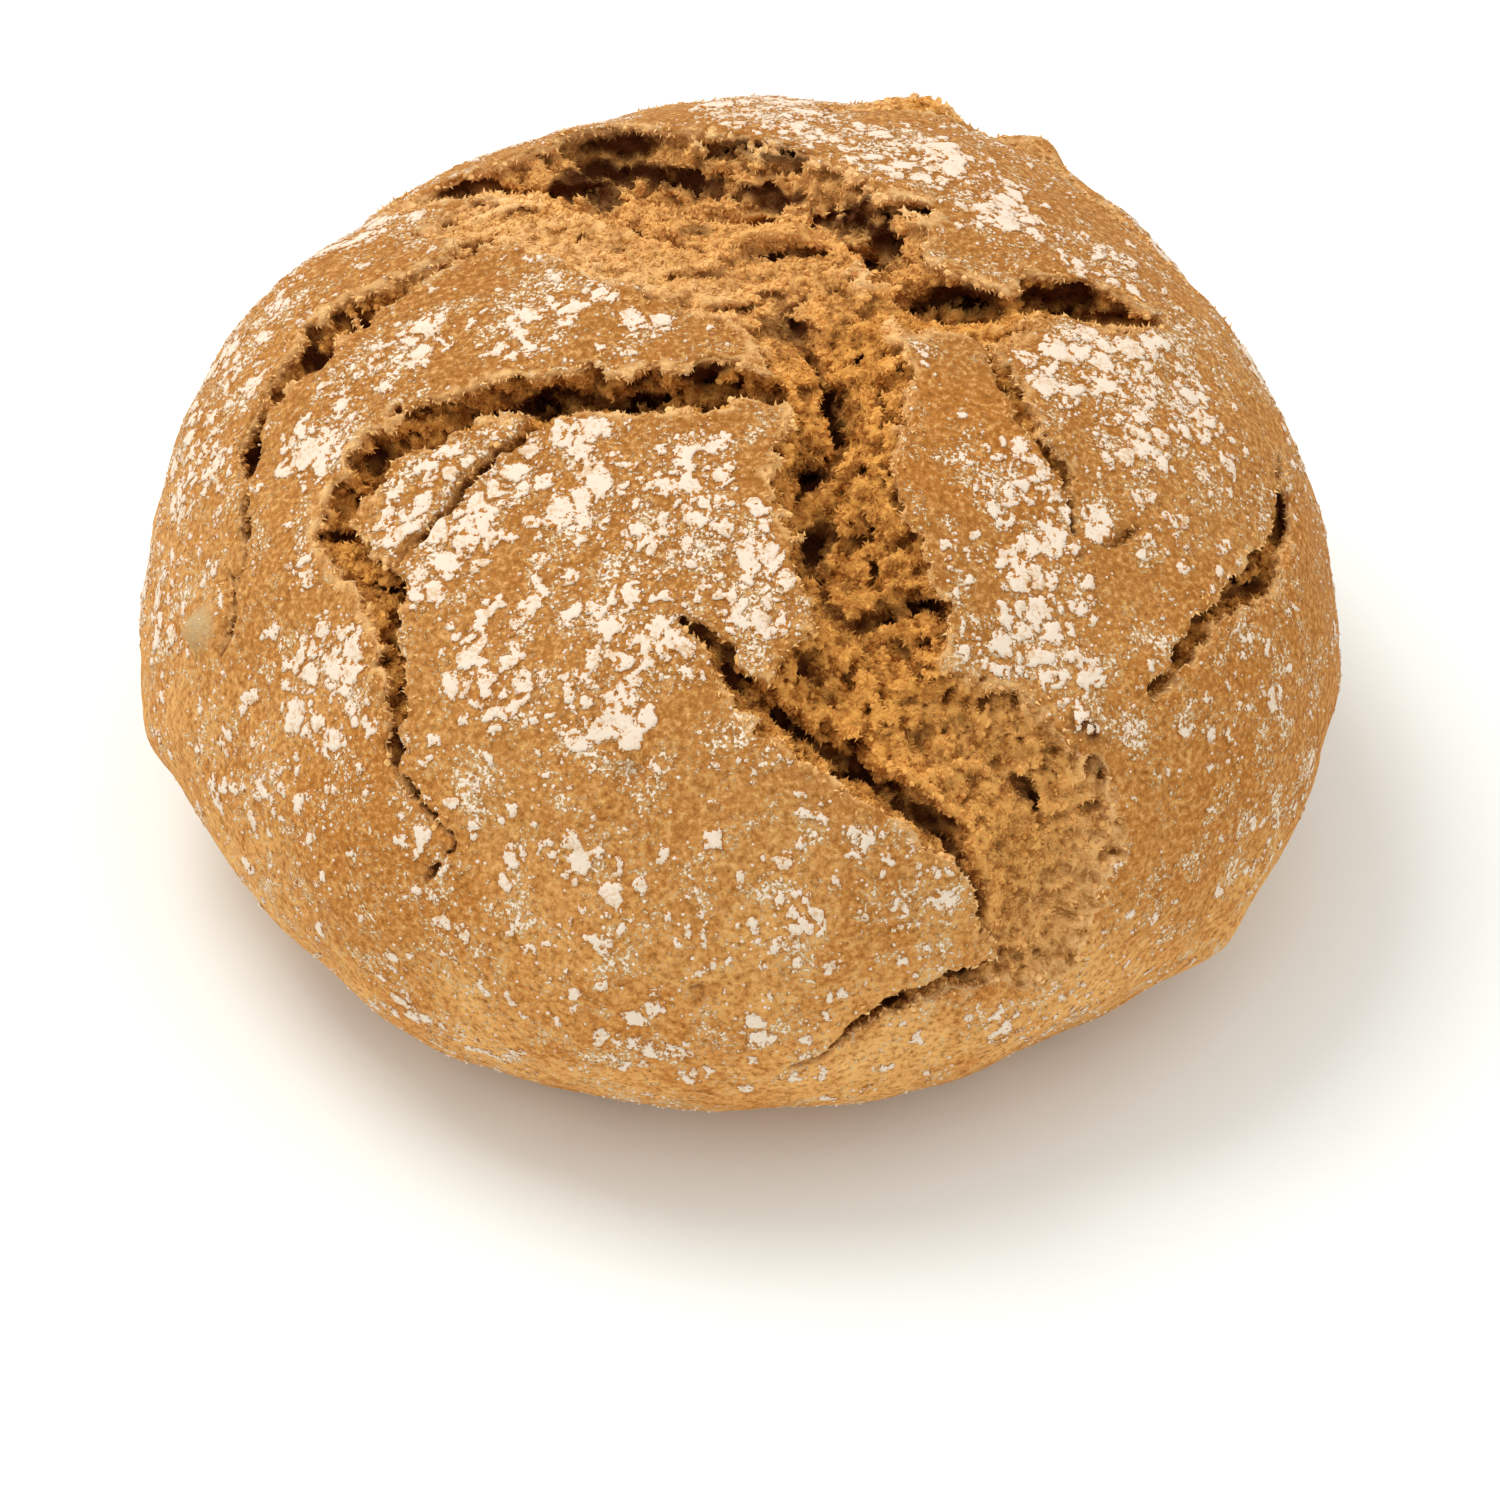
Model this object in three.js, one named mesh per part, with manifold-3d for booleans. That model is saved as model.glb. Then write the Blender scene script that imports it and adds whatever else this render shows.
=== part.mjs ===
// A round dark bread roll, baked in one piece, with a crust that tore open in the oven and shows
// the crumb inside.
//
// Units are millimetres and +Z is up. The origin is the middle of the flat underside.
// The roll's front is -Y and its right is +X.
import * as THREE from "three";
import { mergeVertices } from "three/addons/utils/BufferGeometryUtils.js";
import { ImprovedNoise } from "three/addons/math/ImprovedNoise.js";
import Module from "manifold-3d";

// The smooth dome
const RADIUS = 49.5; // mean radius at the waist
const HEIGHT = 54;
const WAIST = 19; // height of the widest level
const UNDERSIDE_REACH = 25.5; // how far the lower curve would go below the waist if it weren't flat
const CROWN_SQUARENESS = 2.25; // 2 is an ellipse, more is boxier
const FOOT_SQUARENESS = 2.2;
const CROWN_LEAN = 1.6; // the crown sits this far to the right of the foot
const LOBES = [
  { count: 2, rise: 0.5, bearing: 95 },
  { count: 3, rise: 0.5, bearing: -48 },
  { count: 4, rise: 0.75, bearing: -17 },
]; // how the outline differs from a circle, each lobe's bearing in degrees

// Relief of the skin and of the torn crumb: size of its clods, how far they rise, and a fixed seed
const CRUST_SWELL = { size: 15, rise: 0.8, seed: 0 };
const CRUST_DIMPLE = { size: 6, rise: 0.3, seed: 5 };
const CRUMB_CLOD = { size: 3.4, rise: 1.5, seed: 3 };
const CRUMB_PORE = { size: 1.7, rise: 0.7, seed: 7 };
const RAGGED_EDGE = { size: 5, rise: 1.2, seeds: [11, 23, 37] };
const LIP_RISE = 0.8; // the crust curls up beside a deep tear
const LIP_WIDTH = 3;
const DEEPEST = 8.5;
const DEEPER_SHARE = 0.25; // where tears cross, this much of what goes past the deepest is kept
const CRUST_THICKNESS = 1.5; // a cut this deep shows crumb only

// Lengths of the triangles' edges, from the torn crumb to the plain underside
const TORN_EDGE = 1.8;
const CRUST_EDGE = 5.5;
const EDGE_GROWTH = 0.6; // each millimetre away from a tear allows this much more
const SPLIT_PASSES = 8;
const SPHERE_DETAIL = 7;
const ROUTE_STEP = 1.2;

// Places on the crust are [right, back]: degrees of lean from straight up, seen from the roll's middle.
// A tear's route adds its half width and its depth at each place, in millimetres.
// Floor is how flat the tear's bottom is: 1 is a V, 2 a bowl and 4 a trough.
const TEARS = [
  {
    name: "crown field",
    floor: 3,
    route: [
      [-42, 37, 2, 1.5], [-30, 34, 3.5, 2.5], [-19, 34, 7, 3],
      [-8, 26, 9, 3.2], [3, 19, 8.5, 3.4], [13, 17, 6, 3],
    ],
  },
  {
    name: "crown ramp",
    floor: 2,
    route: [[-24, 36, 3.5, 4], [-10, 30, 5, 5], [2, 24, 4.5, 5], [12, 18, 3.5, 4.5]],
  },
  {
    name: "crown cave",
    floor: 3,
    route: [
      [-41, 38, 1.2, 3], [-30, 36, 2.2, 6], [-20, 35, 3.6, 8.5],
      [-6, 29.5, 3.4, 8.5], [5, 26, 3, 8.5], [14, 19, 2.6, 8], [18, 13, 2, 7],
    ],
  },
  { name: "upper cave", floor: 2, route: [[-23, 45, 1.2, 5], [-16, 43, 1.8, 6.5], [-8, 39, 1.2, 4.5]] },
  {
    name: "second ledge",
    floor: 2,
    route: [[-28, 31, 1.2, 4], [-23, 26, 1.6, 6], [-16, 20, 1.7, 6], [-9, 14, 1.3, 5], [-5, 12.5, 1, 2.5]],
  },
  {
    name: "valley",
    floor: 2,
    route: [[2, 6, 6, 3], [7, -6, 6, 3.5], [11, -16, 4.8, 4.5], [11, -24, 4, 5], [9, -31, 4.5, 5.5]],
  },
  {
    name: "valley crack",
    floor: 2,
    route: [[6, -3, 1, 3.5], [10, -12, 1.4, 6.5], [12, -22, 1.7, 8], [8, -31, 2, 7.5]],
  },
  { name: "basin", floor: 4, route: [[9, -35, 4, 6], [12, -41, 4.8, 6.5], [16, -48, 4.4, 6]] },
  {
    name: "lower field",
    floor: 3,
    route: [
      [9, -54, 4.5, 5], [18, -57, 6, 3.8], [29, -59.5, 6.5, 3.1], [38, -65, 7, 2.8], [41, -74, 4.5, 2.2],
    ],
  },
  {
    name: "lower gap",
    floor: 2,
    route: [
      [-8, -48, 0.8, 2], [0, -56, 1.7, 5], [9, -60, 2, 8.5], [23, -66, 1.8, 8], [29, -70, 1.1, 4],
      [33, -76, 0.8, 2],
    ],
  },
  {
    name: "left bow",
    floor: 2,
    route: [
      [4, -19, 1.5, 4], [-3, -17, 2.3, 6], [-12, -18, 2.5, 7], [-31, -15, 2.2, 6], [-45, -17, 2.2, 5.5],
      [-49, -24, 2.4, 5.5], [-48, -31, 1.8, 4.5], [-44, -37, 1.9, 5], [-42, -49, 1.2, 4], [-43, -55, 0.8, 2],
    ],
  },
  {
    name: "left gully",
    floor: 2,
    route: [[-27, -19, 1.1, 2.5], [-33, -24, 1, 1.8], [-37, -28, 0.9, 1.4], [-43, -34, 0.9, 1.6]],
  },
  {
    name: "shoulder crack",
    floor: 2,
    route: [
      [-35, 19, 2.2, 3], [-38, 15, 1.4, 2.5], [-50, 9, 2, 4.5], [-55, 4, 1.9, 5], [-60, -3, 1.1, 3.5],
      [-62, -9, 0.9, 2.5], [-62, -20, 0.8, 2],
    ],
  },
  {
    name: "right bow",
    floor: 2,
    route: [[17, 8, 2.2, 5], [22, 4, 2.7, 6.5], [27, 2, 2.5, 6.5], [32, 0.5, 1.6, 4]],
  },
  {
    name: "right bow's end",
    floor: 2,
    route: [[34, 7.5, 1.6, 4.5], [38, 6.5, 2.5, 6.5], [43, 6, 2.3, 6], [49, 8, 1.2, 2.5]],
  },
  { name: "right ramp", floor: 3, route: [[20, 0, 4, 2.4], [30, -1, 3.2, 2]] },
  {
    name: "right crack",
    floor: 2,
    route: [[28, -4, 1.1, 4], [31, -13, 1.2, 4.5], [34, -20, 1.1, 4], [38, -26, 0.9, 3], [38, -33, 0.8, 1.4]],
  },
  {
    name: "far right crack",
    floor: 2,
    route: [
      [66, -4, 0.9, 2], [66, -14, 1.2, 3.5], [62, -24, 1.6, 4], [57, -31, 1.3, 3.5], [52, -38, 0.9, 3],
      [48, -46, 0.9, 3],
    ],
  },
  {
    name: "front crack",
    floor: 2,
    route: [[44, -75, 1.7, 2], [33, -80, 1.1, 3], [22, -84, 0.9, 2.5], [15, -89, 0.8, 1.5]],
  },
  {
    name: "back right crack",
    floor: 2,
    route: [[22, 54, 1.4, 3], [36, 49, 1.3, 3.5], [46, 38, 1.1, 3], [62, 22, 0.9, 2]],
  },
  {
    name: "back split",
    floor: 2,
    route: [[-12, 60, 1.3, 3], [0, 66, 2, 5], [14, 70, 1.8, 4.5], [34, 82, 1, 2]],
  },
  { name: "torn crag", floor: 3, route: [[12, 53, 2.5, 1.2], [20, 55, 3.4, 1.6], [28, 54, 2.4, 1.2]] },
  { name: "back left crack", floor: 2, route: [[-45, 43, 1.2, 2.5], [-53, 51, 1.4, 4], [-58, 66, 0.9, 2]] },
];

// Lumps that stand out of the crust: place, radius and rise, in millimetres
const LUMPS = [
  { name: "back crag", place: [21, 56], radius: 3.6, rise: 2.8 },
  { name: "back knob", place: [36, 53], radius: 2.6, rise: 1.8 },
  { name: "left shoulder", place: [-58, 24], radius: 9, rise: 1.1 },
  { name: "left foot", place: [-93, -20], radius: 4, rise: 1.2 },
  { name: "right foot", place: [82, -60], radius: 5, rise: 1.2 },
  { name: "bubble", place: [-70, -25], radius: 1.8, rise: 1.4 },
];

const MIDDLE = new THREE.Vector3(0, 0, WAIST);
const perlin = new ImprovedNoise();

// Rise or fall of one kind of relief at a point.
function relief(point, { size, rise, seed }) {
  return rise * perlin.noise(point.x / size + seed, point.y / size, point.z / size);
}

// Unit direction of a place on the crust.
function directionOf([right, back]) {
  const lean = THREE.MathUtils.degToRad(Math.hypot(right, back));
  const bearing = Math.atan2(back, right);
  const level = Math.sin(lean);
  return new THREE.Vector3(level * Math.cos(bearing), level * Math.sin(bearing), Math.cos(lean));
}

// Distance from the middle to the smooth dome.
function domeReach(direction) {
  const bearing = Math.atan2(direction.y, direction.x);
  let radius = RADIUS;
  for (const lobe of LOBES)
    radius += lobe.rise * Math.cos(lobe.count * (bearing - THREE.MathUtils.degToRad(lobe.bearing)));
  const across = Math.hypot(direction.x, direction.y) / radius;
  const isUpper = direction.z >= 0;
  const along = Math.abs(direction.z) / (isUpper ? HEIGHT - WAIST : UNDERSIDE_REACH);
  const squareness = isUpper ? CROWN_SQUARENESS : FOOT_SQUARENESS;
  return (across ** squareness + along ** squareness) ** (-1 / squareness);
}

// Point at a distance from the middle, with the crown leaning over the foot.
function pointAt(direction, reach) {
  const point = direction.clone().multiplyScalar(reach);
  point.x += CROWN_LEAN * Math.max(0, point.z / (HEIGHT - WAIST));
  return point.add(MIDDLE);
}

function domePoint(direction) {
  return pointAt(direction, domeReach(direction));
}

// A tear's route as short straight runs along the dome, each knowing its half width and depth.
function routeOf(tear) {
  const places = tear.route.map((stop) => domePoint(directionOf(stop)));
  const curve = new THREE.CatmullRomCurve3(places, false, "centripetal");
  const count = Math.ceil(curve.getLength() / ROUTE_STEP);
  const last = tear.route.length - 1;
  const stops = [];
  for (let i = 0; i <= count; i++) {
    const along = (i / count) * last;
    const before = Math.min(Math.floor(along), last - 1);
    const between = (column) =>
      THREE.MathUtils.lerp(tear.route[before][column], tear.route[before + 1][column], along - before);
    stops.push({ point: curve.getPoint(i / count), halfWidth: between(2), depth: between(3) });
  }
  return { floor: tear.floor, stops };
}

// How a point of the dome lies to one tear: how deep the cut is there, and how far past its edge it is.
function meetTear({ floor, stops }, point) {
  const met = { cut: 0, past: Infinity, depth: 0 };
  const run = new THREE.Line3();
  const foot = new THREE.Vector3();
  for (let i = 1; i < stops.length; i++) {
    run.set(stops[i - 1].point, stops[i].point);
    const share = run.closestPointToPointParameter(point, true);
    const gap = run.at(share, foot).distanceTo(point);
    const halfWidth = THREE.MathUtils.lerp(stops[i - 1].halfWidth, stops[i].halfWidth, share);
    const depth = THREE.MathUtils.lerp(stops[i - 1].depth, stops[i].depth, share);
    met.cut = Math.max(met.cut, depth * (1 - Math.min(1, gap / halfWidth) ** floor));
    if (gap - halfWidth < met.past) {
      met.past = gap - halfWidth;
      met.depth = depth;
    }
  }
  return met;
}

const routes = TEARS.map(routeOf);
const lumps = LUMPS.map((lump) => ({ ...lump, top: domePoint(directionOf(lump.place)) }));

// The skin in one direction: on the smooth dome, as finished, and how far past the nearest tear's edge.
function skin(direction) {
  const smooth = domePoint(direction);
  const shifts = RAGGED_EDGE.seeds.map((seed) => relief(smooth, { ...RAGGED_EDGE, seed }));
  const ragged = new THREE.Vector3(...shifts).add(smooth);
  let cut = 0;
  let past = Infinity;
  let lip = 0;
  for (const route of routes) {
    const met = meetTear(route, ragged);
    cut = Math.hypot(cut, met.cut);
    past = Math.min(past, met.past);
    if (met.past > 0) lip = Math.max(lip, (met.depth / DEEPEST) * Math.exp(-met.past / LIP_WIDTH));
  }
  cut = Math.min(cut, DEEPEST + DEEPER_SHARE * (cut - DEEPEST));
  const torn = THREE.MathUtils.smoothstep(cut, 0, CRUST_THICKNESS);
  const onCrust = relief(smooth, CRUST_DIMPLE) + LIP_RISE * lip;
  const onCrumb = relief(smooth, CRUMB_CLOD) + relief(smooth, CRUMB_PORE);
  let rise = relief(smooth, CRUST_SWELL) + THREE.MathUtils.lerp(onCrust, onCrumb, torn);
  for (const lump of lumps)
    rise += lump.rise * Math.exp(-((smooth.distanceTo(lump.top) / lump.radius) ** 2));
  return { smooth, point: pointAt(direction, domeReach(direction) + rise - cut), past };
}

// Splits every edge that is too long for where it lies, on a sphere of directions, until none is.
function splitSphere() {
  const sphere = new THREE.IcosahedronGeometry(1, SPHERE_DETAIL);
  sphere.deleteAttribute("normal");
  sphere.deleteAttribute("uv");
  const merged = mergeVertices(sphere);
  const directions = [];
  const position = merged.getAttribute("position");
  for (let i = 0; i < position.count; i++)
    directions.push(new THREE.Vector3().fromBufferAttribute(position, i));
  const skins = directions.map(skin);
  let triangles = [];
  for (let i = 0; i < merged.index.count; i += 3)
    triangles.push([merged.index.getX(i), merged.index.getX(i + 1), merged.index.getX(i + 2)]);

  const isLong = (a, b) => {
    const past = Math.max(0, Math.min(skins[a].past, skins[b].past));
    const allowed = Math.min(CRUST_EDGE, TORN_EDGE + EDGE_GROWTH * past);
    const isUnder = skins[a].point.z < 0 && skins[b].point.z < 0;
    return !isUnder && skins[a].smooth.distanceTo(skins[b].smooth) > allowed;
  };
  for (let pass = 0; pass < SPLIT_PASSES; pass++) {
    const middles = new Map();
    const middleOf = (a, b) => {
      const key = Math.min(a, b) + "_" + Math.max(a, b);
      if (!middles.has(key)) {
        if (isLong(a, b)) {
          const direction = directions[a].clone().add(directions[b]).normalize();
          middles.set(key, directions.push(direction) - 1);
          skins.push(skin(direction));
        } else middles.set(key, -1);
      }
      return middles.get(key);
    };
    triangles = triangles.flatMap((triangle) => splitTriangle(triangle, middleOf, skins));
    if ([...middles.values()].every((middle) => middle < 0)) break;
  }
  return { points: skins.map((found) => found.point), triangles };
}

// One triangle as one to four triangles, by which of its edges have a middle point.
function splitTriangle([a, b, c], middleOf, skins) {
  const [ab, bc, ca] = [middleOf(a, b), middleOf(b, c), middleOf(c, a)];
  const count = [ab, bc, ca].filter((middle) => middle >= 0).length;
  if (count === 0) return [[a, b, c]];
  if (count === 3) return [[a, ab, ca], [ab, b, bc], [ca, bc, c], [ab, bc, ca]];
  // Turned so that the edge from a to b is split, and from c to a is not.
  if (ab < 0 || ca >= 0) return splitTriangle([b, c, a], middleOf, skins);
  if (count === 1) return [[a, ab, c], [ab, b, c]];
  const span = (p, q) => skins[p].point.distanceToSquared(skins[q].point);
  return span(a, bc) < span(ab, c)
    ? [[a, ab, bc], [ab, b, bc], [a, bc, c]]
    : [[a, ab, c], [ab, b, bc], [ab, bc, c]];
}

const wasm = await Module();
wasm.setup();

function solidOf(vertProperties, triVerts) {
  return new wasm.Manifold(new wasm.Mesh({ numProp: 3, vertProperties, triVerts }));
}

// The block that levels the roll's underside.
function floorBlock() {
  const side = 4 * RADIUS;
  const box = new THREE.BoxGeometry(side, side, side).translate(0, 0, -side / 2);
  box.deleteAttribute("normal");
  box.deleteAttribute("uv");
  const merged = mergeVertices(box);
  return solidOf(merged.getAttribute("position").array, new Uint32Array(merged.index.array));
}

function breadRoll() {
  const { points, triangles } = splitSphere();
  const corners = new Float32Array(points.flatMap((point) => point.toArray()));
  const whole = solidOf(corners, new Uint32Array(triangles.flat()));
  const levelled = whole.subtract(floorBlock()).getMesh();
  const geometry = new THREE.BufferGeometry();
  geometry.setAttribute("position", new THREE.BufferAttribute(levelled.vertProperties, 3));
  geometry.setIndex(new THREE.BufferAttribute(levelled.triVerts, 1));
  geometry.computeBoundingBox();
  const centre = geometry.boundingBox.getCenter(new THREE.Vector3());
  geometry.translate(-centre.x, -centre.y, 0);
  geometry.computeVertexNormals();
  const crust = new THREE.MeshStandardMaterial({ color: 0xb9823f, roughness: 0.85, metalness: 0 });
  const mesh = new THREE.Mesh(geometry, crust);
  mesh.name = "bread_roll";
  return mesh;
}

const roll = new THREE.Group();
roll.add(breadRoll());
export default roll;
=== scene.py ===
"""Looks of a rustic bread roll: a floured crust, torn open over its crumb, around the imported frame.

Lengths inside the classes are millimetres and finished meshes are metres. A place on the crust is
(right, back): degrees of lean from straight up, seen from the roll's middle.
"""

from __future__ import annotations

import itertools
import logging
import math
from dataclasses import dataclass
from enum import Enum, IntEnum

import bpy
import numpy as np
import openvdb
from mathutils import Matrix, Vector

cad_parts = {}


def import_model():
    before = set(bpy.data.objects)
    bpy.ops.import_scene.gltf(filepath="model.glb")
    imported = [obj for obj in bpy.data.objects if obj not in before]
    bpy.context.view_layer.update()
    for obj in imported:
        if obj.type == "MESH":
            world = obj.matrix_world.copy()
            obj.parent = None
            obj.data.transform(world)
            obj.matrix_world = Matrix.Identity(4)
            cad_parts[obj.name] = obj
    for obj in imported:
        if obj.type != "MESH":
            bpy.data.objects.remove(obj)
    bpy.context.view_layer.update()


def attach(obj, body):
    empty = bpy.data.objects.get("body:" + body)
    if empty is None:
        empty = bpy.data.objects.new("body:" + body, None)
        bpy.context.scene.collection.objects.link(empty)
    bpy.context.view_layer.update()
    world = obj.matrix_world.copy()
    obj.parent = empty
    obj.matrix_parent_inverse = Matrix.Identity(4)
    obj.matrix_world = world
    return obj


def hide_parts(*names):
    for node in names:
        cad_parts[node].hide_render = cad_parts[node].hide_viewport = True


Array = np.ndarray
Material = bpy.types.Material
Mesh = bpy.types.Mesh
Piece = bpy.types.Object
Socket = bpy.types.NodeSocket
Tree = bpy.types.NodeTree
Colour = Socket | str
LOG = logging.getLogger("bread_roll")
MM = 0.001
BODY = "root"
NODE = "bread_roll"
PHOTO_SIDE = 1500
TABLE_SIZE = 256  # entries in the shuffled tables behind the noises
NOISE_GAIN = 1.6  # brings the swing of smooth noise to about one unit
TINY = 1e-6  # keeps divisions away from zero
PINCH_PASSES = 4  # rounds of dropping cells that meet only at a corner
BREAD_IOR = 1.45
# Sockets of a colour mix, and of a random number, by number because their names repeat
MIX_SHARE = 0
MIX_UNDER = 6
MIX_OVER = 7
MIX_RESULT = 2
RANDOM_LEAST = 2
RANDOM_MOST = 3
RANDOM_RESULT = 1


@dataclass(frozen=True)
class Ramp:
    """An ease from 0 at one reading to 1 at another."""

    low: float
    high: float

    def at(self, readings: Array) -> Array:
        """How far along the ramp each reading is, from 0 to 1."""
        share = np.clip((readings - self.low) / (self.high - self.low), 0.0, 1.0)
        return share * share * (3.0 - 2.0 * share)


WHOLE = Ramp(0.0, 1.0)


def smooth_max(first: Array, second: Array, radius: float) -> Array:
    """The larger of two fields, with the crease between them rounded.

    Args:
        first: One field.
        second: The other field.
        radius: How far from the crease the rounding reaches, in the fields' own unit.

    Returns:
        The joined field.
    """
    near = np.maximum(radius - np.abs(first - second), 0.0) / radius
    return np.maximum(first, second) + near * near * radius * 0.25


def lattice_index(order: Array, cells: Array) -> Array:
    """Spread the cells of a lattice over the entries of a shuffled table.

    Args:
        order: Shuffled entry numbers.
        cells: Whole-number cells, one row each.

    Returns:
        One entry number for each cell.
    """
    wrapped = cells & (TABLE_SIZE - 1)
    index = order[wrapped[:, 0]]
    index = order[(index + wrapped[:, 1]) & (TABLE_SIZE - 1)]
    return order[(index + wrapped[:, 2]) & (TABLE_SIZE - 1)]


def gradient_noise(points: Array, seed: int) -> Array:
    """Smooth noise of about one unit's swing whose lumps are one unit across.

    Args:
        points: Points, one row each.
        seed: Fixed seed of the lattice.

    Returns:
        A signed value for each point.
    """
    draw = np.random.default_rng(seed)
    order = draw.permutation(TABLE_SIZE)
    slopes = draw.normal(size=(TABLE_SIZE, 3))
    slopes = (slopes / np.linalg.norm(slopes, axis=1, keepdims=True)).astype(np.float32)
    floor = np.floor(points)
    cells = floor.astype(np.int32)
    inside = (points - floor).astype(np.float32)
    fade = inside**3 * (inside * (inside * 6.0 - 15.0) + 10.0)
    total = np.zeros(len(points), np.float32)
    for corner in itertools.product((0, 1), repeat=3):
        slope = slopes[lattice_index(order, cells + np.array(corner, np.int32))]
        weight = np.where(np.array(corner, bool), fade, 1.0 - fade).prod(axis=1)
        total += weight * ((inside - np.array(corner, np.float32)) * slope).sum(axis=1)
    return NOISE_GAIN * total


@dataclass(frozen=True)
class CellNoise:
    """What cell noise gives at each point.

    Attributes:
        nearest: Distance to the nearest cell's heart.
        second: Distance to the next cell's heart.
        luck: A fixed random share from 0 to 1 for each cell.
    """

    nearest: Array
    second: Array
    luck: Array


def cell_noise(points: Array, seed: int) -> CellNoise:
    """Cells about one unit across around scattered hearts.

    Args:
        points: Points, one row each.
        seed: Fixed seed of the lattice.

    Returns:
        Distances to the two nearest hearts, and the nearest cell's luck.
    """
    draw = np.random.default_rng(seed)
    order = draw.permutation(TABLE_SIZE)
    hearts = draw.random((TABLE_SIZE, 3)).astype(np.float32)
    lucks = draw.random(TABLE_SIZE).astype(np.float32)
    floor = np.floor(points)
    cells = floor.astype(np.int32)
    inside = (points - floor).astype(np.float32)
    nearest = np.full(len(points), np.inf, np.float32)
    second = nearest.copy()
    luck = np.zeros(len(points), np.float32)
    for offset in itertools.product((-1, 0, 1), repeat=3):
        index = lattice_index(order, cells + np.array(offset, np.int32))
        away = hearts[index] + np.array(offset, np.float32) - inside
        gap = np.sqrt((away * away).sum(axis=1))
        is_nearest = gap < nearest
        second = np.where(is_nearest, nearest, np.minimum(second, gap))
        luck = np.where(is_nearest, lucks[index], luck)
        nearest = np.minimum(nearest, gap)
    return CellNoise(nearest, second, luck)


@dataclass(frozen=True)
class Relief:
    """One kind of unevenness: the size of its lumps, how far they rise, and a fixed seed."""

    size: float
    rise: float
    seed: int

    def at(self, points: Array) -> Array:
        """Rise or fall at each point."""
        return self.rise * gradient_noise(points / self.size, self.seed)


def shift_of(points: Array, reliefs: tuple[Relief, ...]) -> Array:
    """Small uneven shifts, sideways as much as up and down.

    Args:
        points: Points, one row each.
        reliefs: The kinds of unevenness; each also uses the two seeds after its own.

    Returns:
        One shift for each point.
    """
    shift = np.zeros_like(points)
    for relief in reliefs:
        for axis in range(3):
            shift[:, axis] += Relief(relief.size, relief.rise, relief.seed + axis).at(points)
    return shift


def direction_of(right: Array, back: Array) -> Array:
    """Unit directions of places on the crust.

    Args:
        right: Lean to the right of each place.
        back: Lean to the back of each place.

    Returns:
        One direction for each place, one row each.
    """
    lean = np.radians(np.hypot(right, back))
    bearing = np.arctan2(back, right)
    level = np.sin(lean)
    return np.stack([level * np.cos(bearing), level * np.sin(bearing), np.cos(lean)], axis=1)


def place_of(directions: Array) -> tuple[Array, Array]:
    """Places on the crust that directions point to.

    Args:
        directions: Unit directions, one row each.

    Returns:
        Lean to the right, and lean to the back, of each.
    """
    level = np.hypot(directions[:, 0], directions[:, 1])
    lean = np.degrees(np.arctan2(level, directions[:, 2]))
    level = np.maximum(level, TINY)
    return lean * directions[:, 0] / level, lean * directions[:, 1] / level


def leaning_axes(slope: float) -> tuple[Array, Array]:
    """Directions of a face at the front that leans back.

    Args:
        slope: Degrees that the face's outward direction is above the horizon.

    Returns:
        Unit directions up along the face, and outwards from it.
    """
    angle = math.radians(slope)
    upward = np.array([0.0, math.sin(angle), math.cos(angle)])
    outward = np.array([0.0, -math.cos(angle), math.sin(angle)])
    return upward, outward


@dataclass(frozen=True)
class Lobe:
    """One way in which the outline differs from a circle."""

    count: int
    rise: float
    bearing: float


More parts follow.
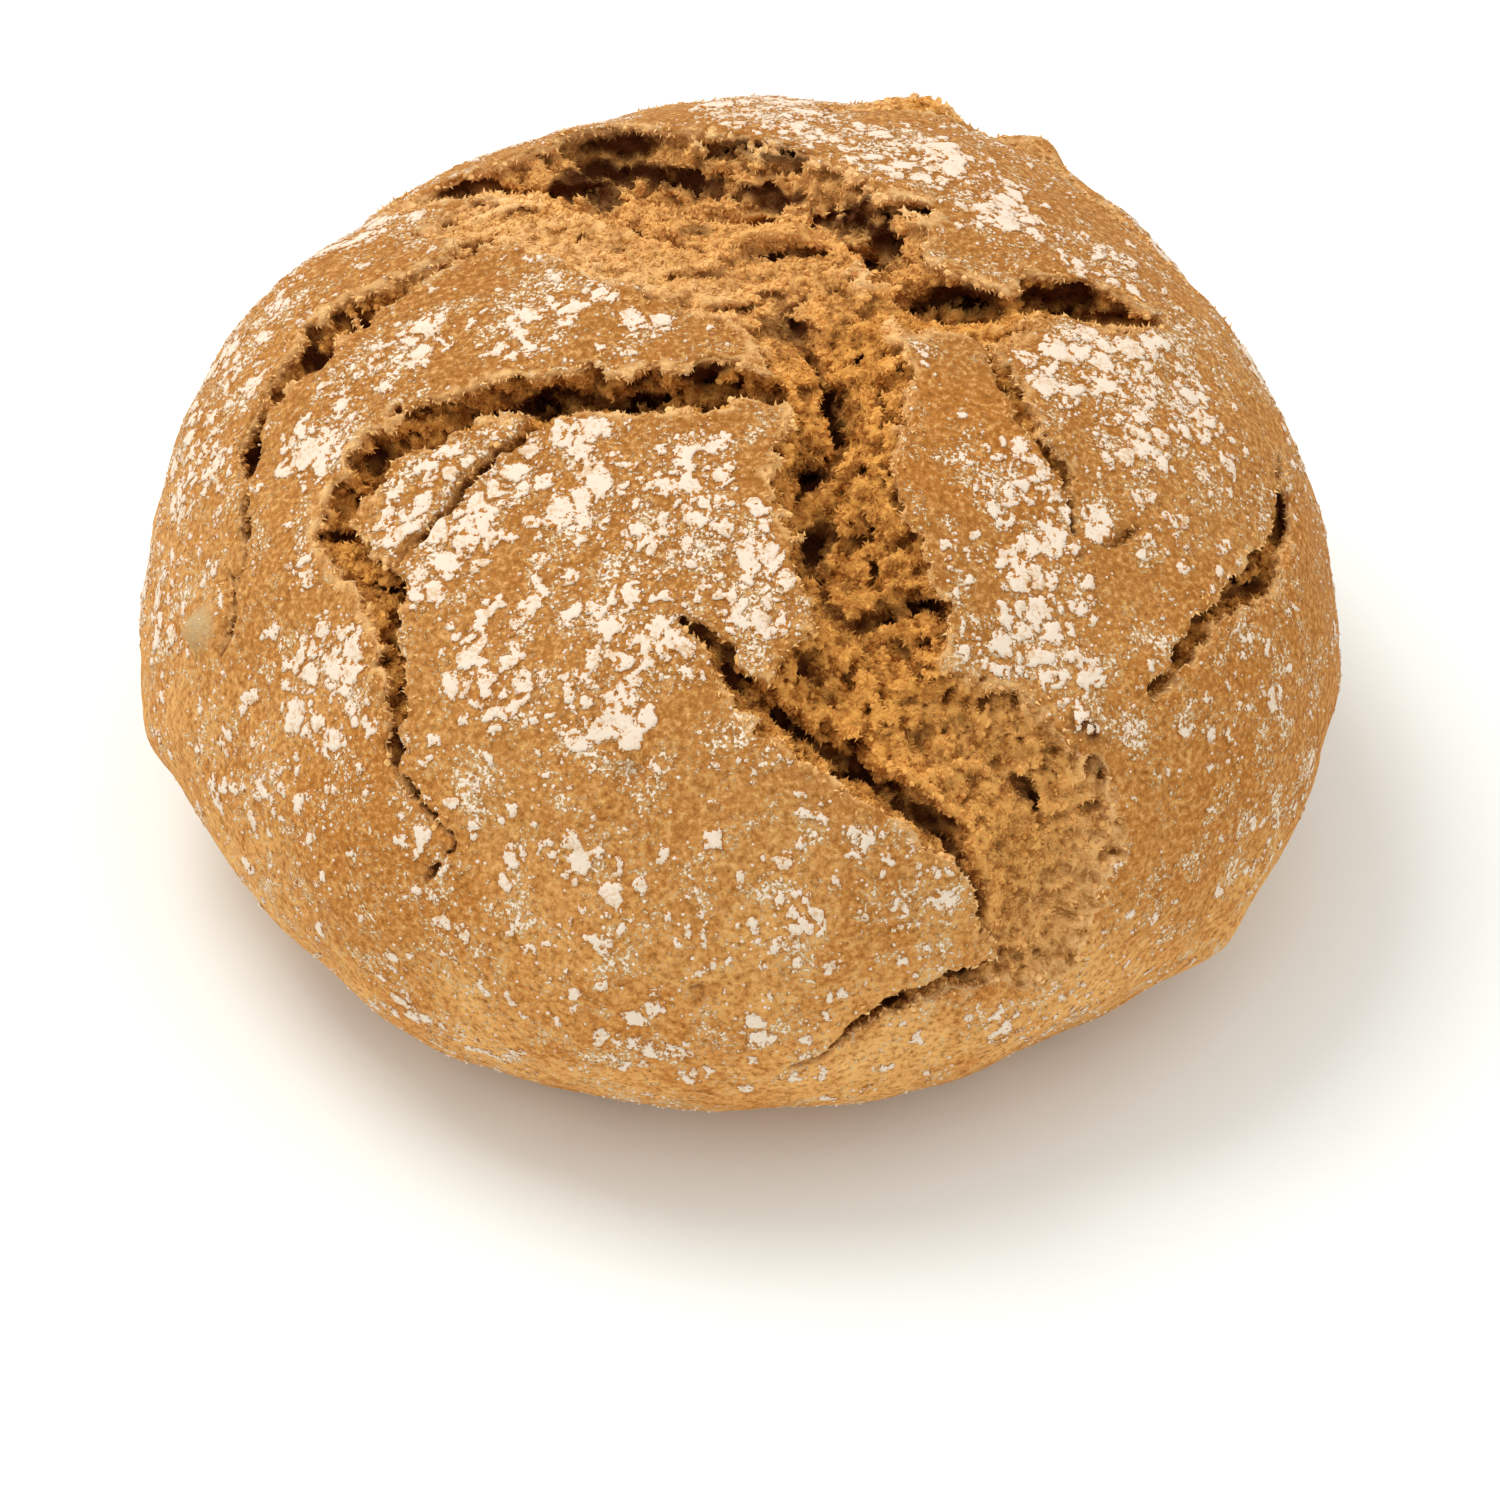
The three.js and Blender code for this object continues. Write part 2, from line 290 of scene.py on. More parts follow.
@dataclass(frozen=True)
class Dome:
    """The roll's smooth shape, before it tore."""

    radius: float = 49.5
    height: float = 54.0
    waist: float = 19.0
    underside_reach: float = 25.5
    crown_squareness: float = 2.25
    foot_squareness: float = 2.2
    crown_lean: float = 1.6
    axis_x: float = 0.25
    axis_y: float = -0.39
    lobes: tuple[Lobe, ...] = (Lobe(2, 0.5, 95.0), Lobe(3, 0.5, -48.0), Lobe(4, 0.75, -17.0))

    @property
    def middle(self) -> Array:
        """The point that places on the crust are seen from."""
        return np.array([self.axis_x, self.axis_y, self.waist])

    @property
    def rise(self) -> float:
        """Height of the crown above the waist."""
        return self.height - self.waist

    def reach(self, directions: Array) -> Array:
        """Distance from the middle to the dome.

        Args:
            directions: Unit directions, one row each.

        Returns:
            One distance for each direction.
        """
        bearing = np.arctan2(directions[:, 1], directions[:, 0])
        radius = np.full(len(directions), self.radius)
        for lobe in self.lobes:
            radius += lobe.rise * np.cos(lobe.count * (bearing - math.radians(lobe.bearing)))
        across = np.hypot(directions[:, 0], directions[:, 1]) / radius
        is_upper = directions[:, 2] >= 0.0
        along = np.abs(directions[:, 2]) / np.where(is_upper, self.rise, self.underside_reach)
        squareness = np.where(is_upper, self.crown_squareness, self.foot_squareness)
        return (across**squareness + along**squareness) ** (-1.0 / squareness)

    def points(self, directions: Array, reach: Array) -> Array:
        """Points at given distances from the middle, with the crown leaning over the foot.

        Args:
            directions: Unit directions, one row each.
            reach: Distance along each direction.

        Returns:
            Points in the frame.
        """
        found = directions * reach[:, None]
        found[:, 0] += self.crown_lean * np.maximum(found[:, 2] / self.rise, 0.0)
        return found + self.middle

    def lift(self, right: Array | float, back: Array | float) -> Array:
        """Points of the dome at places on the crust, one row each."""
        directions = direction_of(np.atleast_1d(right), np.atleast_1d(back))
        return self.points(directions, self.reach(directions))

    def polar(self, points: Array) -> tuple[Array, Array]:
        """Undo the lean and split points into direction and distance.

        Args:
            points: Points in the frame, one row each.

        Returns:
            Unit directions, and distances from the middle.
        """
        away = points - self.middle
        away[:, 0] -= self.crown_lean * np.maximum(away[:, 2] / self.rise, 0.0)
        distance = np.linalg.norm(away, axis=1)
        return away / np.maximum(distance, TINY)[:, None], distance


@dataclass(frozen=True)
class Stop:
    """A place on a tear's route, with the tear's half width and depth there."""

    right: float
    back: float
    half_width: float
    depth: float


def route(*stops: tuple[float, float, float, float]) -> tuple[Stop, ...]:
    """A tear's route from plain numbers."""
    return tuple(Stop(*stop) for stop in stops)


@dataclass(frozen=True)
class Tear:
    """One tear in the crust.

    Attributes:
        name: What the tear is.
        route: Where it runs.
        floor: How flat its bottom is: 1 is a V, 2 a bowl and 4 a trough.
        undercut: How far it reaches under the crust's lips.
        dive: How far its bottom leans (right, back) for each millimetre down.
        bake: How brown its crumb is: 0 is pale, 1 is dark, and more is darker sooner.
        ledge: How much its crumb tore in ledges, from 0 to 1.
        rough: How rough its crumb is, from 0 to 1.
    """

    name: str
    route: tuple[Stop, ...]
    floor: float = 2.0
    undercut: float = 0.5
    dive: tuple[float, float] = (0.0, 0.0)
    bake: float = 1.0
    ledge: float = 0.0
    rough: float = 1.0


TEARS = (
    Tear("crown skin", floor=4.0, bake=0.0, ledge=0.3, rough=0.6, route=route(
        (-38, 26, 3, 0.8), (-27, 21, 5.5, 1.1), (-17, 16, 7.5, 1.3), (-7, 9, 7.5, 1.4),
        (2, 3, 5.5, 1.4),
    )),
    Tear("crown field", floor=2.5, undercut=0.8, dive=(0.0, 0.4), bake=0.22, ledge=1.0, route=route(
        (-42, 37, 2, 1.5), (-30, 34, 3.5, 2.5), (-19, 34, 7, 3.4), (-8, 26, 9, 3.6),
        (3, 19, 8.5, 3.8), (13, 17, 6, 3.4),
    )),
    Tear("crown ramp", undercut=0.8, dive=(0.0, 0.5), bake=0.8, ledge=1.0, route=route(
        (-24, 36, 3.5, 5), (-10, 30, 5, 6), (2, 24, 4.5, 6), (12, 18, 3.5, 5.5),
    )),
    Tear("crown cave", floor=3.0, undercut=1.0, dive=(0.0, 0.8), ledge=1.0, route=route(
        (-41, 38, 1.2, 3), (-30, 36, 2.2, 6), (-20, 35, 3.6, 9), (-6, 29.5, 3.4, 9.5),
        (5, 26, 3.0, 8.5), (14, 19, 2.6, 8), (18, 13, 2.0, 7),
    )),
    Tear("upper cave", dive=(0.0, 0.7), route=route(
        (-23, 45, 1.2, 5), (-16, 43, 1.6, 6.5), (-8, 39, 1.2, 4.5),
    )),
    Tear("second ledge", dive=(0.0, 0.7), route=route(
        (-28, 31, 1.0, 4), (-23, 26, 1.6, 6.5), (-16, 20, 1.7, 6.5), (-9, 14, 1.3, 5),
        (-5, 12.5, 0.7, 2.5),
    )),
    Tear("valley", undercut=0.6, bake=1.25, ledge=0.4, route=route(
        (2, 6, 6, 3), (7, -6, 6, 3.5), (11, -16, 4.8, 4.5), (11, -24, 4, 5), (9, -31, 4.5, 5.5),
    )),
    Tear("valley crack", route(
        (6, -3, 0.7, 3.5), (10, -12, 1.3, 6.5), (12, -22, 1.6, 8), (8, -31, 2, 7.5),
    )),
    Tear("basin", floor=4.0, undercut=1.0, route=route(
        (9, -35, 4, 6), (12, -41, 4.8, 6.5), (16, -48, 4.4, 6),
    )),
    Tear("lower field", floor=3.0, undercut=0.4, bake=1.3, rough=0.7, route=route(
        (9, -54, 4.5, 5), (18, -57, 6, 3.8), (29, -59.5, 6.5, 3.1),
    )),
    Tear("lower field's end", floor=3.0, undercut=0.4, bake=0.36, rough=0.35, route=route(
        (32, -61, 6.5, 3), (38, -65, 7, 2.8), (41, -74, 4.5, 2.2),
    )),
    Tear("lower gap", undercut=0.8, dive=(-0.1, -0.2), route=route(
        (-8, -48, 0.6, 2), (0, -56, 1.6, 5), (9, -60, 2, 8.5), (23, -66, 1.7, 8), (29, -70, 1.0, 4),
        (33, -76, 0.5, 2),
    )),
    Tear("left bow", undercut=0.9, dive=(-0.1, 0.4), ledge=0.6, route=route(
        (4, -19, 1.5, 4), (-3, -17, 2.1, 6), (-12, -18, 2.2, 7), (-31, -15, 1.9, 6),
        (-45, -17, 2.2, 5.5), (-49, -24, 2.4, 5.5), (-48, -31, 1.7, 4.5), (-44, -37, 1.8, 5),
        (-42, -49, 1.0, 4), (-43, -55, 0.6, 2.5),
    )),
    Tear("left hairline", route(
        (-43, -55, 0.55, 2), (-40, -60, 0.45, 1.8), (-36, -64.5, 0.4, 1.6), (-38, -66, 0.35, 1.4),
        (-41.5, -67, 0.3, 1.0),
    )),
    Tear("blister rim", route((-66, -21, 0.4, 1.0), (-65, -26, 0.8, 2.2), (-68, -30, 0.5, 1.2))),
    Tear("left gully", rough=0.6, route=route(
        (-27, -19, 0.9, 2.5), (-33, -24, 0.7, 1.8), (-37, -28, 0.6, 1.4), (-43, -34, 0.5, 1.6),
    )),
    Tear("shoulder crack", dive=(-0.4, 0.2), route=route(
        (-35, 19, 2.2, 3), (-38, 15, 1.3, 2.5), (-50, 9, 2.0, 4.5), (-55, 4, 1.9, 5),
        (-60, -3, 1.0, 3.5), (-62, -9, 0.7, 2.5), (-62, -20, 0.55, 2.0), (-65, -26, 0.45, 1.6),
    )),
    Tear("right bow", undercut=0.9, dive=(0.0, 0.6), ledge=0.7, route=route(
        (17, 8, 2.2, 5), (22, 4, 2.7, 6.5), (27, 2, 2.5, 6.5), (32, 0.5, 1.6, 4),
    )),
    Tear("right bow's end", undercut=0.9, dive=(0.0, 0.6), ledge=0.7, route=route(
        (34, 7.5, 1.6, 4.5), (38, 6.5, 2.5, 6.5), (43, 6, 2.3, 6), (49, 8, 1.0, 2.5),
    )),
    Tear("right ramp", route((20, 0, 4, 2.4), (30, -1, 3.2, 2)), floor=3.0, bake=1.3, ledge=0.4),
    Tear("right crack", dive=(-0.2, 0.0), route=route(
        (28, -4, 1.0, 4), (31, -13, 1.1, 4.5), (34, -20, 1.0, 4), (38, -26, 0.6, 3),
        (38, -33, 0.35, 1.4),
    )),
    Tear("right hairline", route((48, -23, 0.3, 0.6), (44, -30, 0.4, 1.0), (38, -35, 0.3, 0.6))),
    Tear("far right crack", route(
        (66, -4, 0.6, 2), (66, -14, 1.1, 3.5), (62, -24, 1.7, 4), (57, -31, 1.3, 3.5),
        (52, -38, 0.8, 3), (48, -46, 0.8, 3),
    )),
    Tear("front crack", route(
        (44, -75, 1.6, 2), (33, -80, 1.0, 3), (22, -84, 0.8, 2.5), (15, -89, 0.5, 1.5),
        (8, -93, 0.35, 1.0),
    )),
    Tear("back right crack", route(
        (22, 54, 1.4, 3), (36, 49, 1.2, 3.5), (46, 38, 1.0, 3), (62, 22, 0.7, 2),
    )),
    Tear("back split", undercut=0.8, route=route(
        (-12, 60, 1.2, 3), (0, 66, 2, 5), (14, 70, 1.7, 4.5), (34, 82, 0.6, 2),
    )),
    Tear("back crag", floor=3.0, bake=0.9, route=route(
        (12, 53, 2.5, 1.2), (20, 55, 3.4, 1.6), (28, 54, 2.4, 1.2),
    )),
    Tear("back fork", route((2, 67, 0.9, 3), (-5, 78, 0.7, 2.5), (-9, 90, 0.4, 1.2))),
    Tear("back left crack", route(
        (-45, 43, 1.0, 2.5), (-53, 51, 1.3, 4), (-58, 66, 0.7, 2), (-55, 76, 0.4, 1.2),
    )),
)


@dataclass(frozen=True)
class Hollow:
    """A hollow in the crumb, which narrows as it runs in under a torn ledge, with shade painted under
    its upper edge.

    Attributes:
        right: Lean to the right of the place on the crust that it runs in from.
        back: Lean to the back of that place.
        half_width: Half its size from left to right.
        half_height: Half its size up and down.
        painted_shade: How much shade is painted under its upper edge, from 0 to 1.
        taper: How fast it narrows on its way in.
    """

    right: float
    back: float
    half_width: float
    half_height: float
    painted_shade: float = 1.0
    taper: float = 0.8


HOLLOWS = (
    # Under the crown's torn wall
    Hollow(-17.0, 39.8, 4.4, 1.5, taper=0.6),
    Hollow(-21.5, 40.5, 1.8, 1.4),
    Hollow(-18.0, 30.2, 5.2, 2.1, taper=0.6),
    Hollow(-10.5, 26.0, 4.6, 2.0, taper=0.6),
    Hollow(-23.0, 26.8, 3.6, 1.9, taper=0.6),
    Hollow(-19.5, 22.0, 3.2, 1.6, painted_shade=0.9),
    Hollow(-8.0, 15.0, 1.9, 1.3, painted_shade=0.7),
    Hollow(1.0, 23.0, 4.2, 1.3),
    Hollow(6.5, 18.0, 2.2, 1.3),
    Hollow(11.8, 17.2, 2.6, 1.7, taper=0.6),
    Hollow(16.8, 13.0, 1.9, 2.7, taper=0.6),
    Hollow(4.6, 31.5, 3.4, 1.6, painted_shade=0.9, taper=0.6),
    Hollow(-4.1, 33.5, 3.6, 1.8, painted_shade=0.8, taper=0.6),
    Hollow(-36.0, 35.0, 5.0, 1.4),
    # In the right bow
    Hollow(25.5, 1.4, 4.4, 2.0, taper=0.6),
    Hollow(38.5, 6.0, 4.2, 2.0, taper=0.6),
    Hollow(45.0, 8.0, 2.0, 1.1),
    # In the left bow
    Hollow(-26.0, -16.2, 5.4, 1.4),
    Hollow(-14.5, -18.0, 3.4, 1.2),
    Hollow(-6.5, -15.6, 3.0, 1.6),
    Hollow(-46.5, -18.5, 1.9, 1.8, painted_shade=0.8),
    # Down the valley and in the basin at its foot
    Hollow(4.0, -7.0, 2.6, 2.6, painted_shade=0.5, taper=1.8),
    Hollow(10.4, -22.0, 1.8, 3.2, painted_shade=0.5, taper=1.4),
    Hollow(6.0, -30.5, 2.8, 1.8, painted_shade=0.6, taper=1.4),
    Hollow(18.0, -32.0, 1.4, 1.8, painted_shade=0.6),
    Hollow(7.2, -41.0, 2.0, 3.0, painted_shade=0.9),
    Hollow(13.0, -47.5, 4.0, 1.5, painted_shade=0.8),
    Hollow(20.0, -45.5, 2.6, 2.2, painted_shade=0.7),
    # Under the crag at the back
    Hollow(15.0, 43.6, 2.8, 0.9),
    # In the shoulder crack
    Hollow(-53.0, 1.5, 1.6, 2.4, taper=1.2),
    Hollow(-48.4, 6.4, 1.8, 1.4, taper=1.2),
    Hollow(-60.9, -6.4, 1.0, 2.6, painted_shade=0.8),
    # In the far right crack
    Hollow(65.1, -14.1, 0.9, 2.6, taper=1.4),
    Hollow(59.4, -27.6, 2.0, 1.3, taper=1.4),
    # In the lower field
    Hollow(33.7, -61.2, 0.9, 2.0, painted_shade=0.8),
    Hollow(43.1, -55.4, 0.9, 2.0, painted_shade=0.7, taper=1.4),
    # In the front crack
    Hollow(29.5, -80.0, 2.2, 0.9),
    Hollow(21.0, -84.0, 1.6, 1.0),
)
HOLLOW_SLOPE = 42.0  # degrees over the horizon that the hollows' mouths face


@dataclass(frozen=True)
class Lump:
    """A swelling of the crust, or with a negative rise a pit."""

    right: float
    back: float
    radius: float
    rise: float


LUMPS = (
    Lump(21, 56, 3.6, 2.8),
    Lump(36, 53, 2.6, 1.8),
    Lump(-58, 24, 9.0, 1.1),
    Lump(-93, -20, 4.0, 1.2),
    Lump(82, -60, 5.0, 1.2),
    Lump(-70, -25, 1.7, 1.9),
    Lump(39, -52, 1.4, 0.8),
    Lump(-14, -62, 0.8, -1.2),
    Lump(-6, -84, 0.8, -1.0),
)


@dataclass(frozen=True)
class Spot:
    """A place on the crust whose colour differs."""

    right: float
    back: float
    radius: float


# Dark spots: shade painted in the two small pits, and scorches on the small lump at the front right
SCORCHES_AND_PIT_SHADES = (Spot(39, -52, 1.0), Spot(40.5, -52.5, 0.8), Spot(-14, -62, 0.7), Spot(-6, -83.5, 0.6))
BLISTERS = (Spot(-70, -25, 1.7),)
# Browner patches: the three on the right flank are shade painted on that side, the others a browner
# bake
TOASTS_AND_SHADES = (
    Spot(58, -50, 13),
    Spot(70, -36, 11),
    Spot(76, -14, 9),
    Spot(25, -24, 7),
    Spot(-49, -62, 10),
)


@dataclass(frozen=True)
class FlourPatch:
    """Flour that stayed on the crust: where, how far it spreads, and what share it covers."""

    right: float
    back: float
    radius: float
    cover: float


def flour_patches(*rows: tuple[float, float, float, float]) -> tuple[FlourPatch, ...]:
    """Patches of flour from plain numbers."""
    return tuple(FlourPatch(*row) for row in rows)


FLOUR = flour_patches(
    # On the big plate in front
    (-36, -18, 3.0, 0.95), (-40, -25, 3.6, 0.95), (-43, -31, 3.0, 0.9), (-28, -24, 3.4, 0.85),
    (-23, -21, 3.2, 0.6), (-33, -30, 4.0, 0.85), (-36, -36, 3.2, 0.85), (-23, -31, 4.2, 0.75),
    (-8, -30, 3.4, 0.8), (-15, -31, 2.6, 0.6), (-10, -38, 4.4, 0.8), (-4, -40, 3.6, 0.8),
    (-20, -41, 4.4, 0.65), (-11, -46, 4.4, 0.7), (-29, -45, 3.0, 0.7), (-34, -47, 2.0, 0.9),
    (-28, -52, 2.6, 0.9), (1, -49, 4.4, 0.95), (-18, -52, 2.8, 0.95), (-18, -56, 3.4, 0.9),
    (-9, -51, 2.6, 0.7), (-3, -60, 1.6, 0.8),
    # On the plates to the right
    (40, -8, 5.0, 0.9), (47, -7, 5.0, 0.9), (50, 0, 4.0, 0.85), (45, -18, 3.0, 0.8),
    (32, -28, 4.0, 0.8), (38, -31, 2.8, 0.85), (33, -23, 2.2, 0.6), (35, -39, 4.0, 0.8),
    (24, -39, 2.0, 0.6), (34, -46, 3.6, 0.95), (25, -49, 3.0, 0.9), (48, -28, 2.6, 0.6),
    (55, -12, 4.0, 0.5), (38, -51, 1.8, 0.8), (45, -50, 1.6, 0.7), (62, -35, 4.0, 0.35),
    # On the crown's plate
    (-25, 8, 3.0, 0.85), (-20, 2, 3.0, 0.45), (-29, -3, 4.0, 0.6), (-14, -7, 2.0, 0.5),
    (-42, -1, 3.0, 0.6),
    # Along the crown's back
    (18, 33, 5.0, 0.95), (24, 33, 4.0, 0.95), (32, 20, 4.0, 0.7), (43, 18, 4.0, 0.7),
    (2, 47, 5.0, 0.9),
    # On the left
    (-60, 12, 6.0, 0.65), (-61, 22, 5.0, 0.6), (-48, -4, 3.4, 0.7), (-52, -13, 3.4, 0.9),
    (-52, -27, 2.8, 0.85), (-45, -30, 2.4, 0.8), (-68, 2, 6.0, 0.55), (-51, -40, 3.0, 0.95),
    (-55, -43, 3.4, 0.75), (-48, -48, 2.6, 0.7), (-40, -55, 2.0, 0.7), (-41, -61, 2.2, 0.75),
    # Along the foot
    (-32, -61, 2.6, 0.6), (-22, -66, 3.4, 0.4), (-61, -51, 2.4, 0.5), (10, -92, 2.4, 0.6),
    (44, -82, 4.0, 0.4),
    # On the back
    (5, 58, 6.0, 0.5), (-30, 58, 7.0, 0.6), (20, 78, 7.0, 0.5), (-20, 78, 7.0, 0.55),
    (-50, 35, 6.0, 0.6), (55, 45, 7.0, 0.6), (68, 20, 5.0, 0.5), (48, 66, 6.0, 0.5),
    (-70, 50, 6.0, 0.45),
    # Wide and thin patches, and two more behind the crown
    (-74, -8, 9.0, 0.4), (-66, -44, 8.0, 0.3), (-10, -80, 10.0, 0.28), (-38, -78, 9.0, 0.25),
    (14, -72, 8.0, 0.28), (28, 28, 4.0, 0.7), (10, 40, 4.0, 0.7),
)


@dataclass
class CrustMap:
    """A flat map of the crust, one value for each place, which every part of the shape reads.

    Attributes:
        dome: The smooth shape that it maps.
        step: Degrees between neighbouring places.
        limit: Furthest lean from straight up.
        least_upright: Least that the dome is taken to face away from the middle.
        edge_gap: How far inside the last places a reading stays, in steps.
    """

    dome: Dome
    step: float = 0.25
    limit: float = 132.0
    least_upright: float = 0.5
    edge_gap: float = 0.001

    def __post_init__(self) -> None:
        """Lay the places out and lift them onto the dome."""
        line = np.arange(-self.limit, self.limit + self.step / 2, self.step)
        self.side = len(line)
        right, back = np.meshgrid(line, line, indexing="ij")
        self.directions = direction_of(right.ravel(), back.ravel())
        self.points = self.dome.points(self.directions, self.dome.reach(self.directions))
        self.upright = self._upright()

    def _upright(self) -> Array:
        """How squarely the dome faces away from the middle.

        Returns:
            A share of at most 1 for each place.
        """
        grid = self.points.reshape(self.side, self.side, 3)
        normal = np.cross(np.gradient(grid, axis=0), np.gradient(grid, axis=1)).reshape(-1, 3)
        normal /= np.maximum(np.linalg.norm(normal, axis=1, keepdims=True), TINY)
        facing = np.abs((normal * self.directions).sum(axis=1))
        return np.clip(facing, self.least_upright, 1.0)

    def window(self, right: Array, back: Array, margin: float) -> Array:
        """Numbers of the places in a box around some others.

        Args:
            right: The others' lean to the right.
            back: The others' lean to the back.
            margin: Degrees to add on each side.

        Returns:
            Numbers of places on the map.
        """
        low = np.array([right.min(), back.min()]) - margin + self.limit
        high = np.array([right.max(), back.max()]) + margin + self.limit
        first = np.clip(np.floor(low / self.step).astype(int), 0, self.side - 1)
        last = np.clip(np.ceil(high / self.step).astype(int), 0, self.side - 1)
        rows = np.arange(first[0], last[0] + 1)
        columns = np.arange(first[1], last[1] + 1)
        return (rows[:, None] * self.side + columns).ravel()

    def sample(self, layers: Array, right: Array, back: Array) -> Array:
        """Read layers of the map between its places.

        Args:
            layers: One row of values for each place.
            right: Lean to the right of each place to read.
            back: Lean to the back of each place to read.

        Returns:
            One row of values for each place read.
        """
        last = self.side - 1.0 - self.edge_gap
        row = np.clip((right + self.limit) / self.step, 0.0, last)
        column = np.clip((back + self.limit) / self.step, 0.0, last)
        first_row = row.astype(np.int64)
        first_column = column.astype(np.int64)
        across = (row - first_row).astype(np.float32)[:, None]
        along = (column - first_column).astype(np.float32)[:, None]
        number = first_row * self.side + first_column
        near = layers[number] * (1.0 - along) + layers[number + 1] * along
        number += self.side
        far = layers[number] * (1.0 - along) + layers[number + 1] * along
        return near * (1.0 - across) + far * across


class Layer(IntEnum):
    """The layers of the map that shape the roll, by their column."""

    RELIEF = 0
    PAST_EDGE = 1
    FLOOR = 2
    STEEPNESS = 3
    DIVE_RIGHT = 4
    DIVE_BACK = 5
    UPRIGHT = 6
    BAKE = 7
    GAPE = 8
    LEDGE = 9


@dataclass(frozen=True)
class BesideTear:
    """How the places near one tear lie to it, one value for each.

    Attributes:
        place: Numbers of the places on the map.
        past: How far past the tear's edge each is.
        width: The tear's half width beside it.
        depth: The tear's depth beside it.
        bottom: How deep the tear's bottom is at the place itself.
    """

    place: Array
    past: Array
    width: Array
    depth: Array
    bottom: Array


@dataclass
class TornSkin:
    """The crust with its swells, lumps and tears, as layers on the map."""

    chart: CrustMap
    # Unevenness of the crust, and of the tears' edges
    swell: Relief = Relief(15.0, 0.8, 1)
    dimple: Relief = Relief(6.0, 0.4, 2)
    grain: Relief = Relief(1.6, 0.08, 3)
    ragged: tuple[Relief, ...] = (Relief(5.0, 0.9, 4), Relief(1.7, 0.8, 7), Relief(0.8, 0.7, 17))
    least_ragged: float = 0.6
    # The crust curls up beside a deep tear
    lip_rise: float = 0.8
    lip_width: float = 3.0
    deepest: float = 8.5
    # How tears are traced, and how far from them their fields go
    route_step: float = 0.35
    field_reach: float = 8.0
    dive_width: float = 6.0
    full_gape: float = 2.0
    steepest: float = 5.0
    furthest_share: float = 3.0
    window_degrees: float = 1.6
    degrees_a_millimetre: float = 1.35

    def build(self) -> Array:
        """Work out every layer.

        Returns:
            One row for each place on the map, with a column for each Layer.
        """
        count = len(self.chart.points)
        past_edge = np.full(count, self.field_reach, np.float32)
        floor = np.full(count, -self.field_reach, np.float32)
        lip, bake, gape, ledge = np.zeros((4, count), np.float32)
        dive = np.zeros((count, 2), np.float32)
        pull = np.full(count, TINY, np.float32)
        ragged = shift_of(self.chart.points, self.ragged).astype(np.float32)
        for tear in TEARS:
            beside = self._beside(tear, ragged)
            place = beside.place
            open_share = tear.rough * np.minimum(beside.width / self.full_gape, 1.0)
            gape[place] = np.where(beside.past < past_edge[place], open_share, gape[place])
            past_edge[place] = np.minimum(past_edge[place], beside.past)
            floor[place] = np.maximum(floor[place], beside.bottom)
            share = beside.depth / self.deepest
            outside = np.maximum(beside.past, 0.0)
            lip[place] = np.maximum(lip[place], share * np.exp(-outside / self.lip_width))
            weight = share * np.exp(-((outside / self.dive_width) ** 2))
            dive[place] += weight[:, None] * np.array(tear.dive, np.float32)
            bake[place] += weight * np.float32(tear.bake)
            ledge[place] += weight * np.float32(tear.ledge)
            pull[place] += weight
        dive *= self.degrees_a_millimetre / np.maximum(pull, 1.0)[:, None]
        columns = {
            Layer.RELIEF: self._relief() + self.lip_rise * lip,
            Layer.PAST_EDGE: past_edge,
            Layer.FLOOR: floor,
            Layer.STEEPNESS: self._steepness(floor),
            Layer.DIVE_RIGHT: dive[:, 0],
            Layer.DIVE_BACK: dive[:, 1],
            Layer.UPRIGHT: self.chart.upright,
            Layer.BAKE: bake / pull,
            Layer.GAPE: gape,
            Layer.LEDGE: ledge / pull,
        }
        return np.stack([columns[layer] for layer in Layer], axis=1).astype(np.float32)

    def _relief(self) -> Array:
        """Swells, dimples, grain and lumps of the crust.

        Returns:
            A rise or fall for each place.
        """
        points = self.chart.points
        relief = self.swell.at(points) + self.dimple.at(points) + self.grain.at(points)
        for lump in LUMPS:
            gap = np.linalg.norm(points - self.chart.dome.lift(lump.right, lump.back), axis=1)
            relief += lump.rise * np.exp(-((gap / lump.radius) ** 2))
        return relief

    def _steepness(self, floor: Array) -> Array:
        """How much longer the way up a tear's bottom is than straight out of it.

        Args:
            floor: Depth of the tears' bottoms at each place.

        Returns:
            One ratio, from 1 up, for each place.
        """
        spacing = self.chart.step / self.degrees_a_millimetre
        slope = np.hypot(*np.gradient(floor.reshape(self.chart.side, -1), spacing))
        return np.sqrt(1.0 + np.minimum(slope.ravel(), self.steepest) ** 2)

    def _samples(self, tear: Tear) -> tuple[Array, Array, Array]:
        """Short steps along a tear's smoothly bending route.

        Args:
            tear: The tear.

        Returns:
            Places, half widths and depths of the steps.
        """
        stops = np.array([(s.right, s.back, s.half_width, s.depth) for s in tear.route])
        padded = np.vstack([2 * stops[0] - stops[1], stops, 2 * stops[-1] - stops[-2]])
        runs = []
        for before, start, end, after in zip(padded, padded[1:], padded[2:], padded[3:]):
            length = np.hypot(*(end - start)[:2]) / self.degrees_a_millimetre
            count = max(2, math.ceil(length / self.route_step))
            share = np.linspace(0.0, 1.0, count, endpoint=False)[:, None]
            turn = 2 * before - 5 * start + 4 * end - after
            twist = 3 * start - before - 3 * end + after
            bend = 0.5 * (2 * start + (end - before) * share + turn * share**2 + twist * share**3)
            bend[:, 2:] = start[2:] + (end - start)[2:] * share
            runs.append(bend)
        steps = np.vstack([*runs, stops[-1:]])
        return steps[:, :2], steps[:, 2], steps[:, 3]

